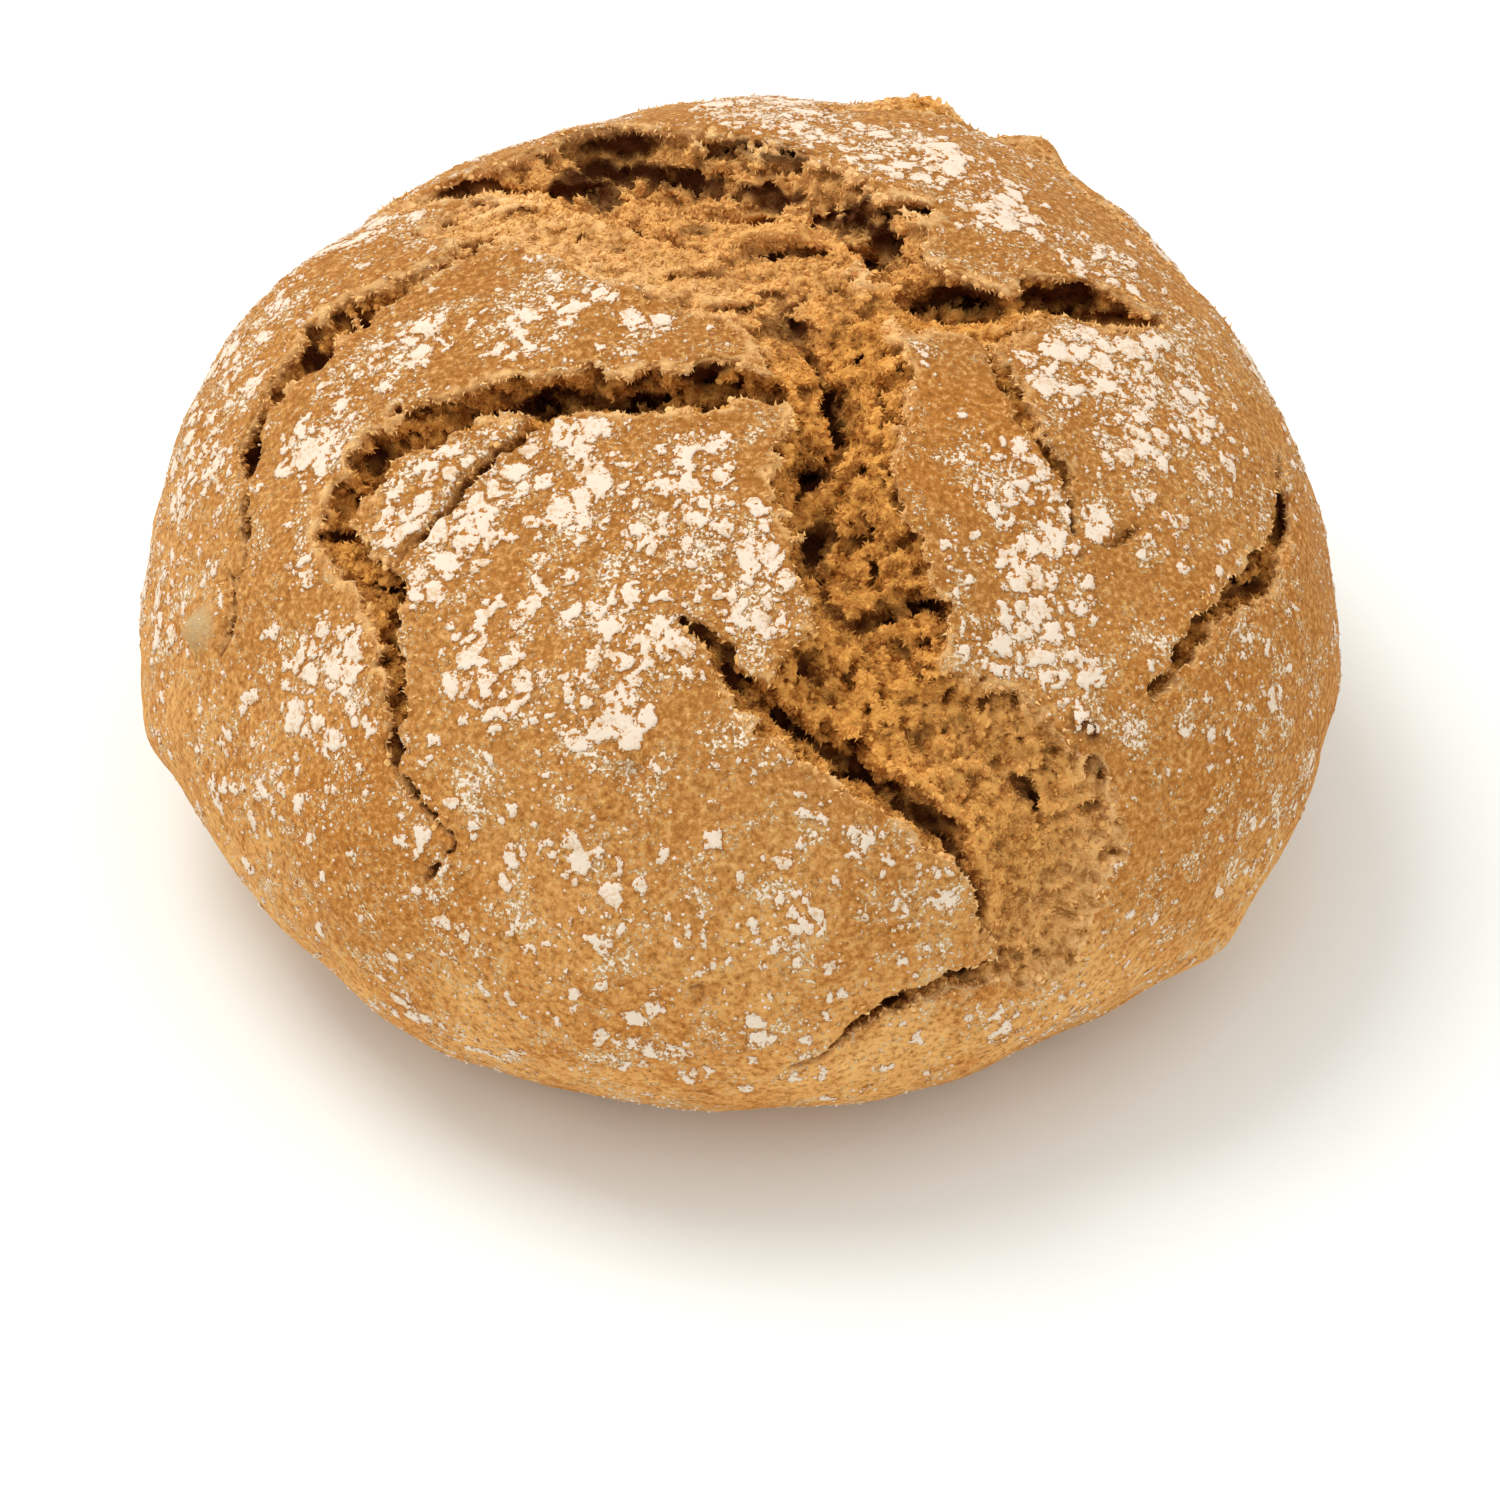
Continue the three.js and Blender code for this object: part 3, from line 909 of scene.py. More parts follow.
    def _beside(self, tear: Tear, ragged: Array) -> BesideTear:
        """How the places near one tear lie to it.

        Args:
            tear: The tear.
            ragged: Shifts of the dome's points.

        Returns:
            The places and what holds beside them.
        """
        steps, widths, depths = self._samples(tear)
        margin = (widths.max() + self.field_reach) * self.window_degrees
        place = self.chart.window(steps[:, 0], steps[:, 1], margin)
        points = self.chart.points[place].astype(np.float32)
        shift = ragged[place]
        past = np.full(len(place), np.inf, np.float32)
        width = np.zeros(len(place), np.float32)
        depth = np.zeros(len(place), np.float32)
        centres = self.chart.dome.lift(steps[:, 0], steps[:, 1])
        for centre, step_width, step_depth in zip(centres, widths, depths):
            share = np.float32(np.clip(step_width / self.full_gape, self.least_ragged, 1.0))
            away = points - centre.astype(np.float32) + share * shift
            gap = np.sqrt((away * away).sum(axis=1)) - np.float32(step_width)
            is_nearer = gap < past
            past = np.where(is_nearer, gap, past)
            width = np.where(is_nearer, np.float32(step_width), width)
            depth = np.where(is_nearer, np.float32(step_depth), depth)
        share = np.maximum(past + width, 0.0) / (width + tear.undercut)
        bottom = depth * (1.0 - np.minimum(share, self.furthest_share) ** tear.floor)
        return BesideTear(place, past, width, depth, np.maximum(bottom, -self.field_reach))


def box_blur(grid: Array, reach: int) -> Array:
    """Mean of a grid over the cube around each cell.

    Args:
        grid: Values in three dimensions.
        reach: Cells from the cube's middle to its side.

    Returns:
        The means, one for each cell.
    """
    for axis, count in enumerate(grid.shape):
        padding = [(1, 0) if other == axis else (0, 0) for other in range(3)]
        total = np.cumsum(np.pad(grid, padding), axis=axis)
        upper = np.minimum(np.arange(count) + reach + 1, count)
        lower = np.maximum(np.arange(count) - reach, 0)
        within = np.take(total, upper, axis) - np.take(total, lower, axis)
        grid = within / np.float32(2 * reach + 1)
    return grid


def read_grid(grid: Array, spots: Array) -> Array:
    """Read a grid between its cells.

    Args:
        grid: Values in three dimensions.
        spots: Places to read, counted in cells, one row each.

    Returns:
        One value for each place.
    """
    low = np.clip(np.floor(spots).astype(int), 0, np.array(grid.shape) - 2)
    share = np.clip(spots - low, 0.0, 1.0)
    total = np.zeros(len(spots))
    for corner in itertools.product((0, 1), repeat=3):
        weight = np.where(np.array(corner, bool), share, 1.0 - share).prod(axis=1)
        total += weight * grid[tuple((low + np.array(corner)).T)]
    return total


@dataclass(frozen=True)
class NearTear:
    """Points near a tear, and how they lie to it, one value for each.

    Attributes:
        points: The points, one row each.
        crust: How far outside the untorn crust each is.
        depth: How far under the untorn crust each is.
        cut: How far outside the smooth tears each is.
        hollow: How far outside the hollows each is.
        gape: How wide the tear is there, from 0 for a hairline to 1.
        ledge: How much the crumb tore in ledges there.
        back: Lean to the back of each.
    """

    points: Array
    crust: Array
    depth: Array
    cut: Array
    hollow: Array
    gape: Array
    ledge: Array
    back: Array


@dataclass
class BreadRoll:
    """The roll itself: crust, lips, crumb and flat underside in one closed skin.

    Attributes:
        chart: Map of the crust.
        layers: Layers of the map, a column for each Layer.
        voxel: Side of the cells that the skin is drawn through.
        triangle_limit: Most triangles of the finished mesh.
    """

    chart: CrustMap
    layers: Array
    voxel: float = 0.3
    quick_voxel: float = 0.45
    triangle_limit: int = 195_000
    # The grid of cells, and how far from the dome the skin may be
    margin: float = 1.5
    band: float = 1.2
    slab: int = 16
    deepest: float = 11.5
    highest: float = 2.8
    torn_reach: float = 2.0
    # Lips that overhang the tears, and how far creases are rounded
    lip_undercut: float = 1.5
    undercut_depths: Ramp = Ramp(0.5, 1.6)
    cut_rounding: float = 0.6
    lip_rounding: float = 0.15
    foot_rounding: float = 0.8
    # Crumb: clods, shreds, burst bubbles and granules, rough inside and calmer at lips and hairlines
    inner_depths: Ramp = Ramp(0.3, 1.6)
    outer_rough: float = 0.5
    hairline_rough: float = 0.15
    clod: Relief = Relief(3.4, 0.9, 21)
    shred: Relief = Relief(0.7, 0.45, 22)
    pull: Relief = Relief(3.0, 1.0, 25)
    cell_middle: float = 0.45
    bubble_size: float = 2.3
    bubble_depth: float = 1.5
    bubble_least: float = 0.4
    bubble_luck: float = 1.2
    bubble_seed: int = 31
    granule_size: float = 1.1
    granule_rise: float = 1.0
    granule_seed: int = 32
    # Pores in the crumb
    pore_spacing: float = 2.4
    pore_largest: float = 0.9
    pore_closed: float = 0.35
    pore_inner: float = 0.6
    pore_rounding: float = 0.25
    pore_seed: int = 33
    # Ledges, and the stretch of the crumb towards the back of the crown
    ledge_stretch: float = 1.4
    stretch_backs: Ramp = Ramp(-12.0, 15.0)
    ledge_spacing: float = 3.6
    ledge_rise: float = 1.9
    ledge_foot: float = 0.15
    ledge_share: float = 0.6
    ledge_warp: Relief = Relief(5.0, 0.8, 28)
    ledge_fade: Relief = Relief(8.0, 0.7, 29)
    # Hollows under the ledges, and the shade painted under their upper edges
    hollow_roughness: float = 0.75
    hollow_limit: float = 3.0
    hollow_reach: float = 16.0
    hollow_deepest: float = 6.0
    hollow_spread: float = 2.0
    hollow_warp: tuple[Relief, ...] = (Relief(3.6, 1.3, 51), Relief(1.3, 0.7, 54))
    painted_shade_heights: Ramp = Ramp(-1.3, 0.3)
    painted_shade_gaps: Ramp = Ramp(0.2, -0.65)
    # What the finish reads: how torn, shut in, baked and fuzzy each point is; shade is painted where
    # the crumb is shut in, under a hollow's edge, or deeper below the crust
    foot_height: float = 0.5
    torn_depths: Ramp = Ramp(0.2, 0.7)
    nook_reach: float = 0.8
    cave_reach: float = 2.4
    least_cave: float = 0.5
    painted_shade_cave: float = 0.3
    lip_edges: Ramp = Ramp(0.2, 1.3)
    lip_crumb: float = 0.34
    # Crumb browns with depth below the crust: partly painted shade of the recess, partly its bake
    bake_and_shade_depths: Ramp = Ramp(0.3, 1.6)
    least_bake_and_shade: float = 0.5
    ridge_nooks: Ramp = Ramp(0.42, 0.58)
    shut_caves: Ramp = Ramp(0.7, 0.9)
    granule_caves: Ramp = Ramp(0.6, 0.8)
    plain_fuzz: float = 0.2
    lip_fuzz: float = 0.4
    spot_edge: Ramp = Ramp(0.7, 1.4)

    def build(self) -> Piece:
        """Draw the skin and thin it.

        Returns:
            The roll, in metres, with its attributes.
        """
        origin, field = self._field()
        grid = openvdb.FloatGrid(self.band)
        grid.copyFromArray(np.clip(field, -self.band, self.band))
        corners, _, quads = grid.convertToPolygons(0.0, 0.0)
        vertices, faces = keep_largest(corners * self.voxel + origin, quads)
        LOG.info("roll drawn: %d points, %d faces", len(vertices), len(faces))
        piece = mesh_object(NODE + "_skin", vertices * MM, faces)
        thin_to(piece, self.triangle_limit)
        self._describe(piece.data, origin, field)
        return piece

    def _field(self) -> tuple[Array, Array]:
        """Distances from the skin, over a grid of cells.

        Returns:
            The grid's first point, and how far outside the skin each cell is.
        """
        dome = self.chart.dome
        reach = dome.radius + self.highest + self.margin
        origin = np.array([dome.axis_x - reach, dome.axis_y - reach, -self.margin])
        top = dome.height + self.highest + self.margin
        size = np.array([2 * reach, 2 * reach, top + self.margin])
        counts = np.ceil(size / self.voxel).astype(int)
        lines = [origin[axis] + self.voxel * np.arange(counts[axis]) for axis in range(3)]
        field = np.full(counts, self.band, np.float32)
        for start in range(0, counts[2], self.slab):
            heights = lines[2][start:start + self.slab]
            points = np.stack(np.meshgrid(lines[0], lines[1], heights, indexing="ij"), axis=-1)
            values = self._signed_distance(points.reshape(-1, 3))
            field[:, :, start:start + self.slab] = values.reshape(points.shape[:3])
        return origin, field

    def _signed_distance(self, points: Array) -> Array:
        """How far outside the skin each point is, negative inside, good near the skin.

        Args:
            points: Points in the frame, one row each.

        Returns:
            One distance for each point.
        """
        directions, distance = self.chart.dome.polar(points)
        above = distance - self.chart.dome.reach(directions)
        result = np.clip(above, -self.band, self.band).astype(np.float32)
        near = np.flatnonzero((above > -self.deepest) & (above < self.highest))
        right, back = place_of(directions[near])
        layers = self.chart.sample(self.layers, right, back)
        crust = (above[near] - layers[:, Layer.RELIEF]) * layers[:, Layer.UPRIGHT]
        depth = np.maximum(-crust, 0.0)
        right = right - layers[:, Layer.DIVE_RIGHT] * depth
        back = back - layers[:, Layer.DIVE_BACK] * depth
        dived = self.chart.sample(self.layers, right, back)
        gape = dived[:, Layer.GAPE]
        over_floor = (depth - dived[:, Layer.FLOOR]) / dived[:, Layer.STEEPNESS]
        under_lip = self.undercut_depths.at(depth) * self.lip_undercut * gape
        past_edge = dived[:, Layer.PAST_EDGE] - under_lip
        cut = smooth_max(past_edge, over_floor, self.cut_rounding)
        hollow = np.full(len(near), self.hollow_limit)
        reached = np.flatnonzero(cut < self.hollow_deepest)
        behind = np.maximum(cut[reached], 0.0)
        hollow[reached] = self._hollows(points[near[reached]], behind)[0]
        torn = np.flatnonzero(np.minimum(cut, hollow) < self.torn_reach)
        crust[torn] = self._tear_out(NearTear(
            points=points[near[torn]],
            crust=crust[torn],
            depth=depth[torn],
            cut=cut[torn],
            hollow=hollow[torn],
            gape=gape[torn],
            ledge=dived[torn, Layer.LEDGE],
            back=back[torn],
        ))
        result[near] = crust
        return smooth_max(result, -points[:, 2], self.foot_rounding)

    def _hollows(self, points: Array, behind: Array) -> tuple[Array, Array]:
        """How points lie to the hollows.

        Args:
            points: Points in the frame, one row each.
            behind: How far behind the smooth tears each is.

        Returns:
            How far outside the nearest hollow each point is, and how much shade is painted there,
            from 0 to 1.
        """
        upward, outward = leaning_axes(HOLLOW_SLOPE)
        warped = points + shift_of(points, self.hollow_warp)
        nearest = np.full(len(points), self.hollow_limit)
        painted_shade = np.zeros(len(points))
        for hollow in HOLLOWS:
            mouth = self.chart.dome.lift(hollow.right, hollow.back)
            furthest = self.hollow_spread * hollow.half_width + self.hollow_limit
            close = np.flatnonzero(np.abs(warped[:, 0] - mouth[0, 0]) < furthest)
            away = warped[close] - mouth
            height = away @ upward / hollow.half_height
            gap = (np.hypot(away[:, 0] / hollow.half_width, height) - 1.0) * hollow.half_height
            gap[away @ outward < -self.hollow_reach] = self.hollow_limit
            nearest[close] = np.minimum(nearest[close], gap + hollow.taper * behind[close])
            # Painted shade: darkest inside the hollow near its upper edge, fading downwards
            dark = hollow.painted_shade * self.painted_shade_heights.at(height) * self.painted_shade_gaps.at(gap)
            painted_shade[close] = np.maximum(painted_shade[close], dark)
        return nearest, painted_shade

    def _tear_out(self, near: NearTear) -> Array:
        """The skin near a tear: burst bubbles with thin walls, granules, ledges and open pores.

        Args:
            near: The points, and how they lie to the crust and its tears.

        Returns:
            How far outside the torn skin each point is.
        """
        inner = self.inner_depths.at(near.depth)
        drawn = near.points.copy()
        drawn[:, 0] /= 1.0 + self.ledge_stretch * self.stretch_backs.at(near.back)
        drawn += shift_of(near.points, (self.pull,))
        bubbles = cell_noise(drawn / self.bubble_size, self.bubble_seed)
        granules = cell_noise(near.points / self.granule_size, self.granule_seed)
        rough = self.bubble_depth * (bubbles.nearest - self.cell_middle)
        rough *= self.bubble_least + self.bubble_luck * bubbles.luck
        rough -= self.granule_rise * (granules.nearest - self.cell_middle)
        rough += self.clod.at(drawn) + self.shred.at(near.points)
        rough += near.ledge * self._ledges(near.points, drawn)
        share = self.outer_rough + (1.0 - self.outer_rough) * inner
        rough *= share * (self.hairline_rough + (1.0 - self.hairline_rough) * near.gape)
        gone = np.minimum(near.cut + rough, near.hollow + self.hollow_roughness * rough)
        value = smooth_max(near.crust, -gone, self.lip_rounding)
        pores = cell_noise(drawn / self.pore_spacing, self.pore_seed)
        pore = self.pore_largest * (pores.luck - self.pore_closed)
        pore = pore - pores.nearest * self.pore_spacing
        pore = np.where(inner > self.pore_inner, pore, -self.band)
        return smooth_max(value, pore, self.pore_rounding)

    def _ledges(self, points: Array, drawn: Array) -> Array:
        """How far ledges stand out: each is sharp at its foot and falls away behind its edge.

        Args:
            points: Points in the frame, one row each.
            drawn: The points with the crumb's stretch.

        Returns:
            One signed height for each point.
        """
        upward, _ = leaning_axes(HOLLOW_SLOPE)
        turns = points @ upward / self.ledge_spacing + self.ledge_warp.at(drawn)
        share = turns - np.floor(turns)
        falling = (1.0 - share) / (1.0 - self.ledge_foot)
        tooth = np.where(share < self.ledge_foot, share / self.ledge_foot, falling)
        shown = np.clip(self.ledge_share + self.ledge_fade.at(points), 0.0, 1.0)
        return self.ledge_rise * (2.0 * tooth - 1.0) * shown

    def _describe(self, mesh: Mesh, origin: Array, field: Array) -> None:
        """Write what the finish reads at each point.

        Args:
            mesh: The thinned mesh.
            origin: First point of the grid.
            field: How far outside the skin each of the grid's cells is.
        """
        dome = self.chart.dome
        points = mesh_points(mesh) / MM
        directions, distance = dome.polar(points)
        layers = self.chart.sample(self.layers, *place_of(directions))
        above = distance - dome.reach(directions)
        depth = (layers[:, Layer.RELIEF] - above) * layers[:, Layer.UPRIGHT]
        is_upper = points[:, 2] > self.foot_height
        torn = self.torn_depths.at(depth) * is_upper
        beside = 1.0 - self.lip_edges.at(layers[:, Layer.PAST_EDGE])
        lip = layers[:, Layer.GAPE] * beside * is_upper
        nook, cave = self._closeness(points, origin, field)
        # Shade painted in the hollows raises the crumb's shut-in reading, which the finish paints
        # dark
        painted_shade = self._hollows(points, np.zeros(len(points)))[1]
        cave = np.maximum(cave, torn * (self.least_cave + self.painted_shade_cave * painted_shade))
        # Browner with depth: painted shade of the recess on top of each tear's own bake
        baked = self.least_bake_and_shade + (1.0 - self.least_bake_and_shade) * self.bake_and_shade_depths.at(depth)
        ridge = 1.0 - self.ridge_nooks.at(nook)
        fuzz = torn * (self.plain_fuzz + (1.0 - self.plain_fuzz) * ridge)
        flour = FlourFall().cover(points, dome) * is_upper
        # The nook and cave readings steer the shade and highlights painted on the crumb
        readings = {
            "torn": np.maximum(torn, self.lip_crumb * lip),
            "nook": nook,
            "cave": np.where(is_upper, cave, self.least_cave),
            "bake": layers[:, Layer.BAKE] * baked,
            "dust": (1.0 - torn) * (1.0 - lip) * flour,
            "scorch_and_pit_shade": self._spots(points, SCORCHES_AND_PIT_SHADES),
            "blister": self._spots(points, BLISTERS),
            "toast_and_shade": self._spots(points, TOASTS_AND_SHADES),
            "granular": torn * (1.0 - self.granule_caves.at(cave)),
            "fuzz": np.maximum(fuzz, self.lip_fuzz * lip) * (1.0 - self.shut_caves.at(cave)),
        }
        for name, values in readings.items():
            write_attribute(mesh, name, values)

    def _closeness(self, points: Array, origin: Array, field: Array) -> tuple[Array, Array]:
        """How much of the roll is close round points.

        Args:
            points: Points on the skin, one row each.
            origin: First point of the grid.
            field: How far outside the skin each of the grid's cells is.

        Returns:
            Shares of solid in a small box and in a large box around each point.
        """
        solid = np.clip(0.5 - field / (2.0 * self.voxel), 0.0, 1.0)
        spots = (points - origin) / self.voxel
        nook = read_grid(box_blur(solid, round(self.nook_reach / self.voxel)), spots)
        cave = read_grid(box_blur(solid, round(self.cave_reach / self.voxel)), spots)
        return nook, cave

    def _spots(self, points: Array, spots: tuple[Spot, ...]) -> Array:
        """How near the heart of a spot each point is, 1 at a heart and 0 well outside.

        Args:
            points: Points on the skin, one row each.
            spots: The spots.

        Returns:
            One share for each point.
        """
        share = np.zeros(len(points))
        for spot in spots:
            centre = self.chart.dome.lift(spot.right, spot.back)
            gap = np.linalg.norm(points - centre, axis=1) / spot.radius
            share = np.maximum(share, 1.0 - self.spot_edge.at(gap))
        return share


@dataclass(frozen=True)
class FlourFall:
    """How flour fell: thick in its patches, and in thin drifts between them."""

    drift: Relief = Relief(6.0, 0.4, 61)
    drift_cover: float = 0.1
    patch_cover: float = 0.72
    patch_edge: Ramp = Ramp(0.6, 1.7)

    def cover(self, points: Array, dome: Dome) -> Array:
        """Share of the crust that flour covers.

        Args:
            points: Points on the crust, one row each.
            dome: The roll's smooth shape.

        Returns:
            One share from 0 to 1 for each point.
        """
        cover = self.drift_cover + self.drift.at(points)
        for patch in FLOUR:
            centre = dome.lift(patch.right, patch.back)
            gap = np.linalg.norm(points - centre, axis=1) / patch.radius
            lying = self.patch_cover * patch.cover * (1.0 - self.patch_edge.at(gap))
            cover = np.maximum(cover, lying)
        return np.clip(cover, 0.0, 1.0)


@dataclass(frozen=True)
class Flake:
    """One flake of flour: its middle, its radius, and how far it is drawn out along a direction."""

    middle: Array
    radius: float
    stretch: float
    along: Array


@dataclass
class FlourFlakes:
    """The flour's dried film, broken into flakes as the crust swelled under it."""

    chart: CrustMap
    layers: Array
    # The grid that flakes are drawn on
    step: float = 0.25
    limit: float = 108.0
    triangle_limit: int = 190_000
    furthest_out: float = 1.0
    furthest_snap: float = 0.5
    flattest: float = 1e-9
    # How many flakes fall, where, and of which sizes
    seed: int = 40
    smallest: float = 0.4
    largest: float = 2.3
    largest_share: float = 0.7
    longest_stretch: float = 1.9
    mean_area: float = 1.3
    patch_cover: float = 0.66
    spread: float = 1.15
    stray_count: int = 5000
    stray_largest: float = 0.5
    stray_lean: float = 100.0
    stray_rarity: float = 0.5
    degrees_a_millimetre: float = 1.35
    window_degrees: float = 2.2
    window_margin: float = 1.2
    # Their frayed outline, cracks and chipped rims, and the bare crust along tears
    fray: tuple[Relief, ...] = (Relief(1.5, 0.45, 41), Relief(0.6, 0.2, 44))
    crack_spacing: float = 2.2
    crack_half_width: float = 0.17
    crack_widest: float = 2.0
    crack_closed: float = 0.4
    crack_seed: int = 48
    chip_size: float = 0.75
    chip_depth: float = 0.6
    chip_seed: int = 49
    lip_gap: float = 0.1
    bare_lip: float = 0.9
    # Their thickness, down to a thin rim
    thickness: float = 0.16
    thinnest: float = 0.03
    rim_width: float = 0.5
    rim_share: float = 0.3
    edge_slope: float = 0.35
    sunk: float = 0.12
    pat: Relief = Relief(0.8, 0.05, 47)

    def build(self) -> Piece:
        """Draw every flake as a thin closed body on the crust.

        Returns:
            All the flakes, in metres.
        """
        line = np.arange(-self.limit, self.limit + self.step / 2, self.step)
        right, back = np.meshgrid(line, line, indexing="ij")
        points = self._crust(right, back, 0.0)
        inside = self._inside(points, right.ravel(), back.ravel()).reshape(right.shape)
        corner_sum = inside[:-1, :-1] + inside[1:, :-1] + inside[:-1, 1:] + inside[1:, 1:]
        cell = without_pinches(corner_sum > 0.0)
        right, back = self._snap(right, back, inside, cell)
        rounding = np.sqrt(np.clip(inside.ravel() / self.edge_slope, 0.0, 1.0))
        lift = self.thickness * (self.rim_share + (1.0 - self.rim_share) * rounding)
        lift = lift + self.pat.at(points)
        top = self._crust(right, back, np.maximum(lift, self.thinnest))
        bottom = self._crust(right, back, -self.sunk)
        vertices, faces, used = slab_between(top, bottom, cell)
        piece = mesh_object("flour_flakes", vertices * MM, faces)
        bare = 1.0 - np.clip(inside.ravel() / self.rim_width, 0.0, 1.0)
        write_attribute(piece.data, "bare", np.tile(bare, 2)[used])
        thin_to(piece, self.triangle_limit)
        return piece

    def _crust(self, right: Array, back: Array, lift: Array | float) -> Array:
        """Points of the untorn crust, or over it.

        Args:
            right: Lean to the right of each place.
            back: Lean to the back of each place.
            lift: How far off the crust each point is.

        Returns:
            Points in the frame, one row each.
        """
        directions = direction_of(right.ravel(), back.ravel())
        layers = self.chart.sample(self.layers, right.ravel(), back.ravel())
        reach = self.chart.dome.reach(directions) + layers[:, Layer.RELIEF] + lift
        return self.chart.dome.points(directions, reach)

    def _snap(self, right: Array, back: Array, inside: Array, cell: Array) -> tuple[Array, Array]:
        """Move the corners on the flakes' rims onto the true rim.

        Args:
            right: Lean to the right of each corner.
            back: Lean to the back of each corner.
            inside: How far inside a flake each corner is.
            cell: Which cells are filled.

        Returns:
            The corners' new places.
        """
        padded = np.pad(cell, 1).astype(int)
        filled = padded[:-1, :-1] + padded[1:, :-1] + padded[:-1, 1:] + padded[1:, 1:]
        is_rim = (filled > 0) & (filled < 4)
        rise_right, rise_back = np.gradient(inside)
        share = -inside / np.maximum(rise_right**2 + rise_back**2, self.flattest)
        move_right = np.clip(share * rise_right, -self.furthest_snap, self.furthest_snap) * is_rim
        move_back = np.clip(share * rise_back, -self.furthest_snap, self.furthest_snap) * is_rim
        return right + self.step * move_right, back + self.step * move_back

    def _flakes(self) -> list[Flake]:
        """Every flake: many in each patch of flour, and strays wherever flour drifted.

        Returns:
            The flakes.
        """
        draw = np.random.default_rng(self.seed)
        flakes = []
        for patch in FLOUR:
            bare = 1.0 - self.patch_cover * patch.cover
            count = round(-math.log(bare) * math.pi * patch.radius**2 / self.mean_area)
            bearing = draw.random(count) * math.tau
            offset = patch.radius * np.sqrt(draw.random(count)) * self.spread
            right = patch.right + offset * np.cos(bearing) * self.degrees_a_millimetre
            back = patch.back + offset * np.sin(bearing) * self.degrees_a_millimetre
            largest = self.largest * math.sqrt(patch.cover)
            largest = min(largest, self.largest_share * patch.radius)
            flakes += self._scatter(draw, right, back, largest)
        lean = np.sqrt(draw.random(self.stray_count)) * self.stray_lean
        bearing = draw.random(self.stray_count) * math.tau
        right = lean * np.cos(bearing)
        back = lean * np.sin(bearing)
        cover = FlourFall().cover(self._crust(right, back, 0.0), self.chart.dome)
        is_kept = cover > draw.random(self.stray_count) * self.stray_rarity
        flakes += self._scatter(draw, right[is_kept], back[is_kept], self.stray_largest)
        return flakes

    def _scatter(
        self, draw: np.random.Generator, right: Array, back: Array, largest: float
    ) -> list[Flake]:
        """Flakes of every size at places, small ones far more often than large.

        Args:
            draw: Source of random numbers.
            right: Lean to the right of each flake's middle.
            back: Lean to the back of each.
            largest: Largest radius.

        Returns:
            The flakes.
        """
        middles = self._crust(right, back, 0.0)
        radii = np.minimum(self.smallest / np.sqrt(draw.random(len(middles))), largest)
        stretches = 1.0 + (self.longest_stretch - 1.0) * draw.random(len(middles))
        alongs = draw.normal(size=(len(middles), 3))
        alongs /= np.linalg.norm(alongs, axis=1, keepdims=True)
        return [Flake(*row) for row in zip(middles, radii, stretches, alongs)]

    def _inside(self, points: Array, right: Array, back: Array) -> Array:
        """How far inside a flake each point is, negative on bare crust.

        Args:
            points: Points on the crust, one row each, from a square grid.
            right: Lean to the right of each point.
            back: Lean to the back of each point.

        Returns:
            One distance for each point.
        """
        frayed = points + shift_of(points, self.fray)
        inside = np.full(len(points), -self.furthest_out)
        side = round(math.sqrt(len(points)))
        for flake in self._flakes():
            place = self._window(flake, side)
            away = frayed[place] - flake.middle
            drawn_out = (flake.stretch**2 - 1.0) * (away @ flake.along) ** 2
            gap = np.sqrt((away**2).sum(axis=1) + drawn_out)
            inside[place] = np.maximum(inside[place], flake.radius - gap)
        layers = self.chart.sample(self.layers, right, back)
        bare_lip = self.lip_gap + self.bare_lip * layers[:, Layer.GAPE]
        chips = cell_noise(points / self.chip_size, self.chip_seed)
        inside += self.chip_depth * (chips.luck - 0.5)
        cells = cell_noise(frayed / self.crack_spacing, self.crack_seed)
        half_width = self.crack_half_width * (self.crack_widest * cells.luck - self.crack_closed)
        border = 0.5 * (cells.second - cells.nearest) * self.crack_spacing - half_width
        off_lip = layers[:, Layer.PAST_EDGE] - bare_lip
        return np.minimum(np.minimum(inside, border), off_lip)

    def _window(self, flake: Flake, side: int) -> Array:
        """Numbers of the grid's corners around a flake.

        Args:
            flake: The flake.
            side: Corners along the grid's side.

        Returns:
            One number for each corner.
        """
        direction, _ = self.chart.dome.polar(flake.middle[None])
        place_right, place_back = place_of(direction)
        reach = (flake.radius + self.window_margin) * self.window_degrees
        reach = math.ceil(reach / self.step)
        row = round((place_right[0] + self.limit) / self.step)
        column = round((place_back[0] + self.limit) / self.step)
        rows = np.arange(max(row - reach, 0), min(row + reach + 1, side))
        columns = np.arange(max(column - reach, 0), min(column + reach + 1, side))
        return (rows[:, None] * side + columns).ravel()


class Mote(Enum):
    """What a strewn mote is shaped like."""

    GRAIN = "grain"
    FIBRE = "fibre"


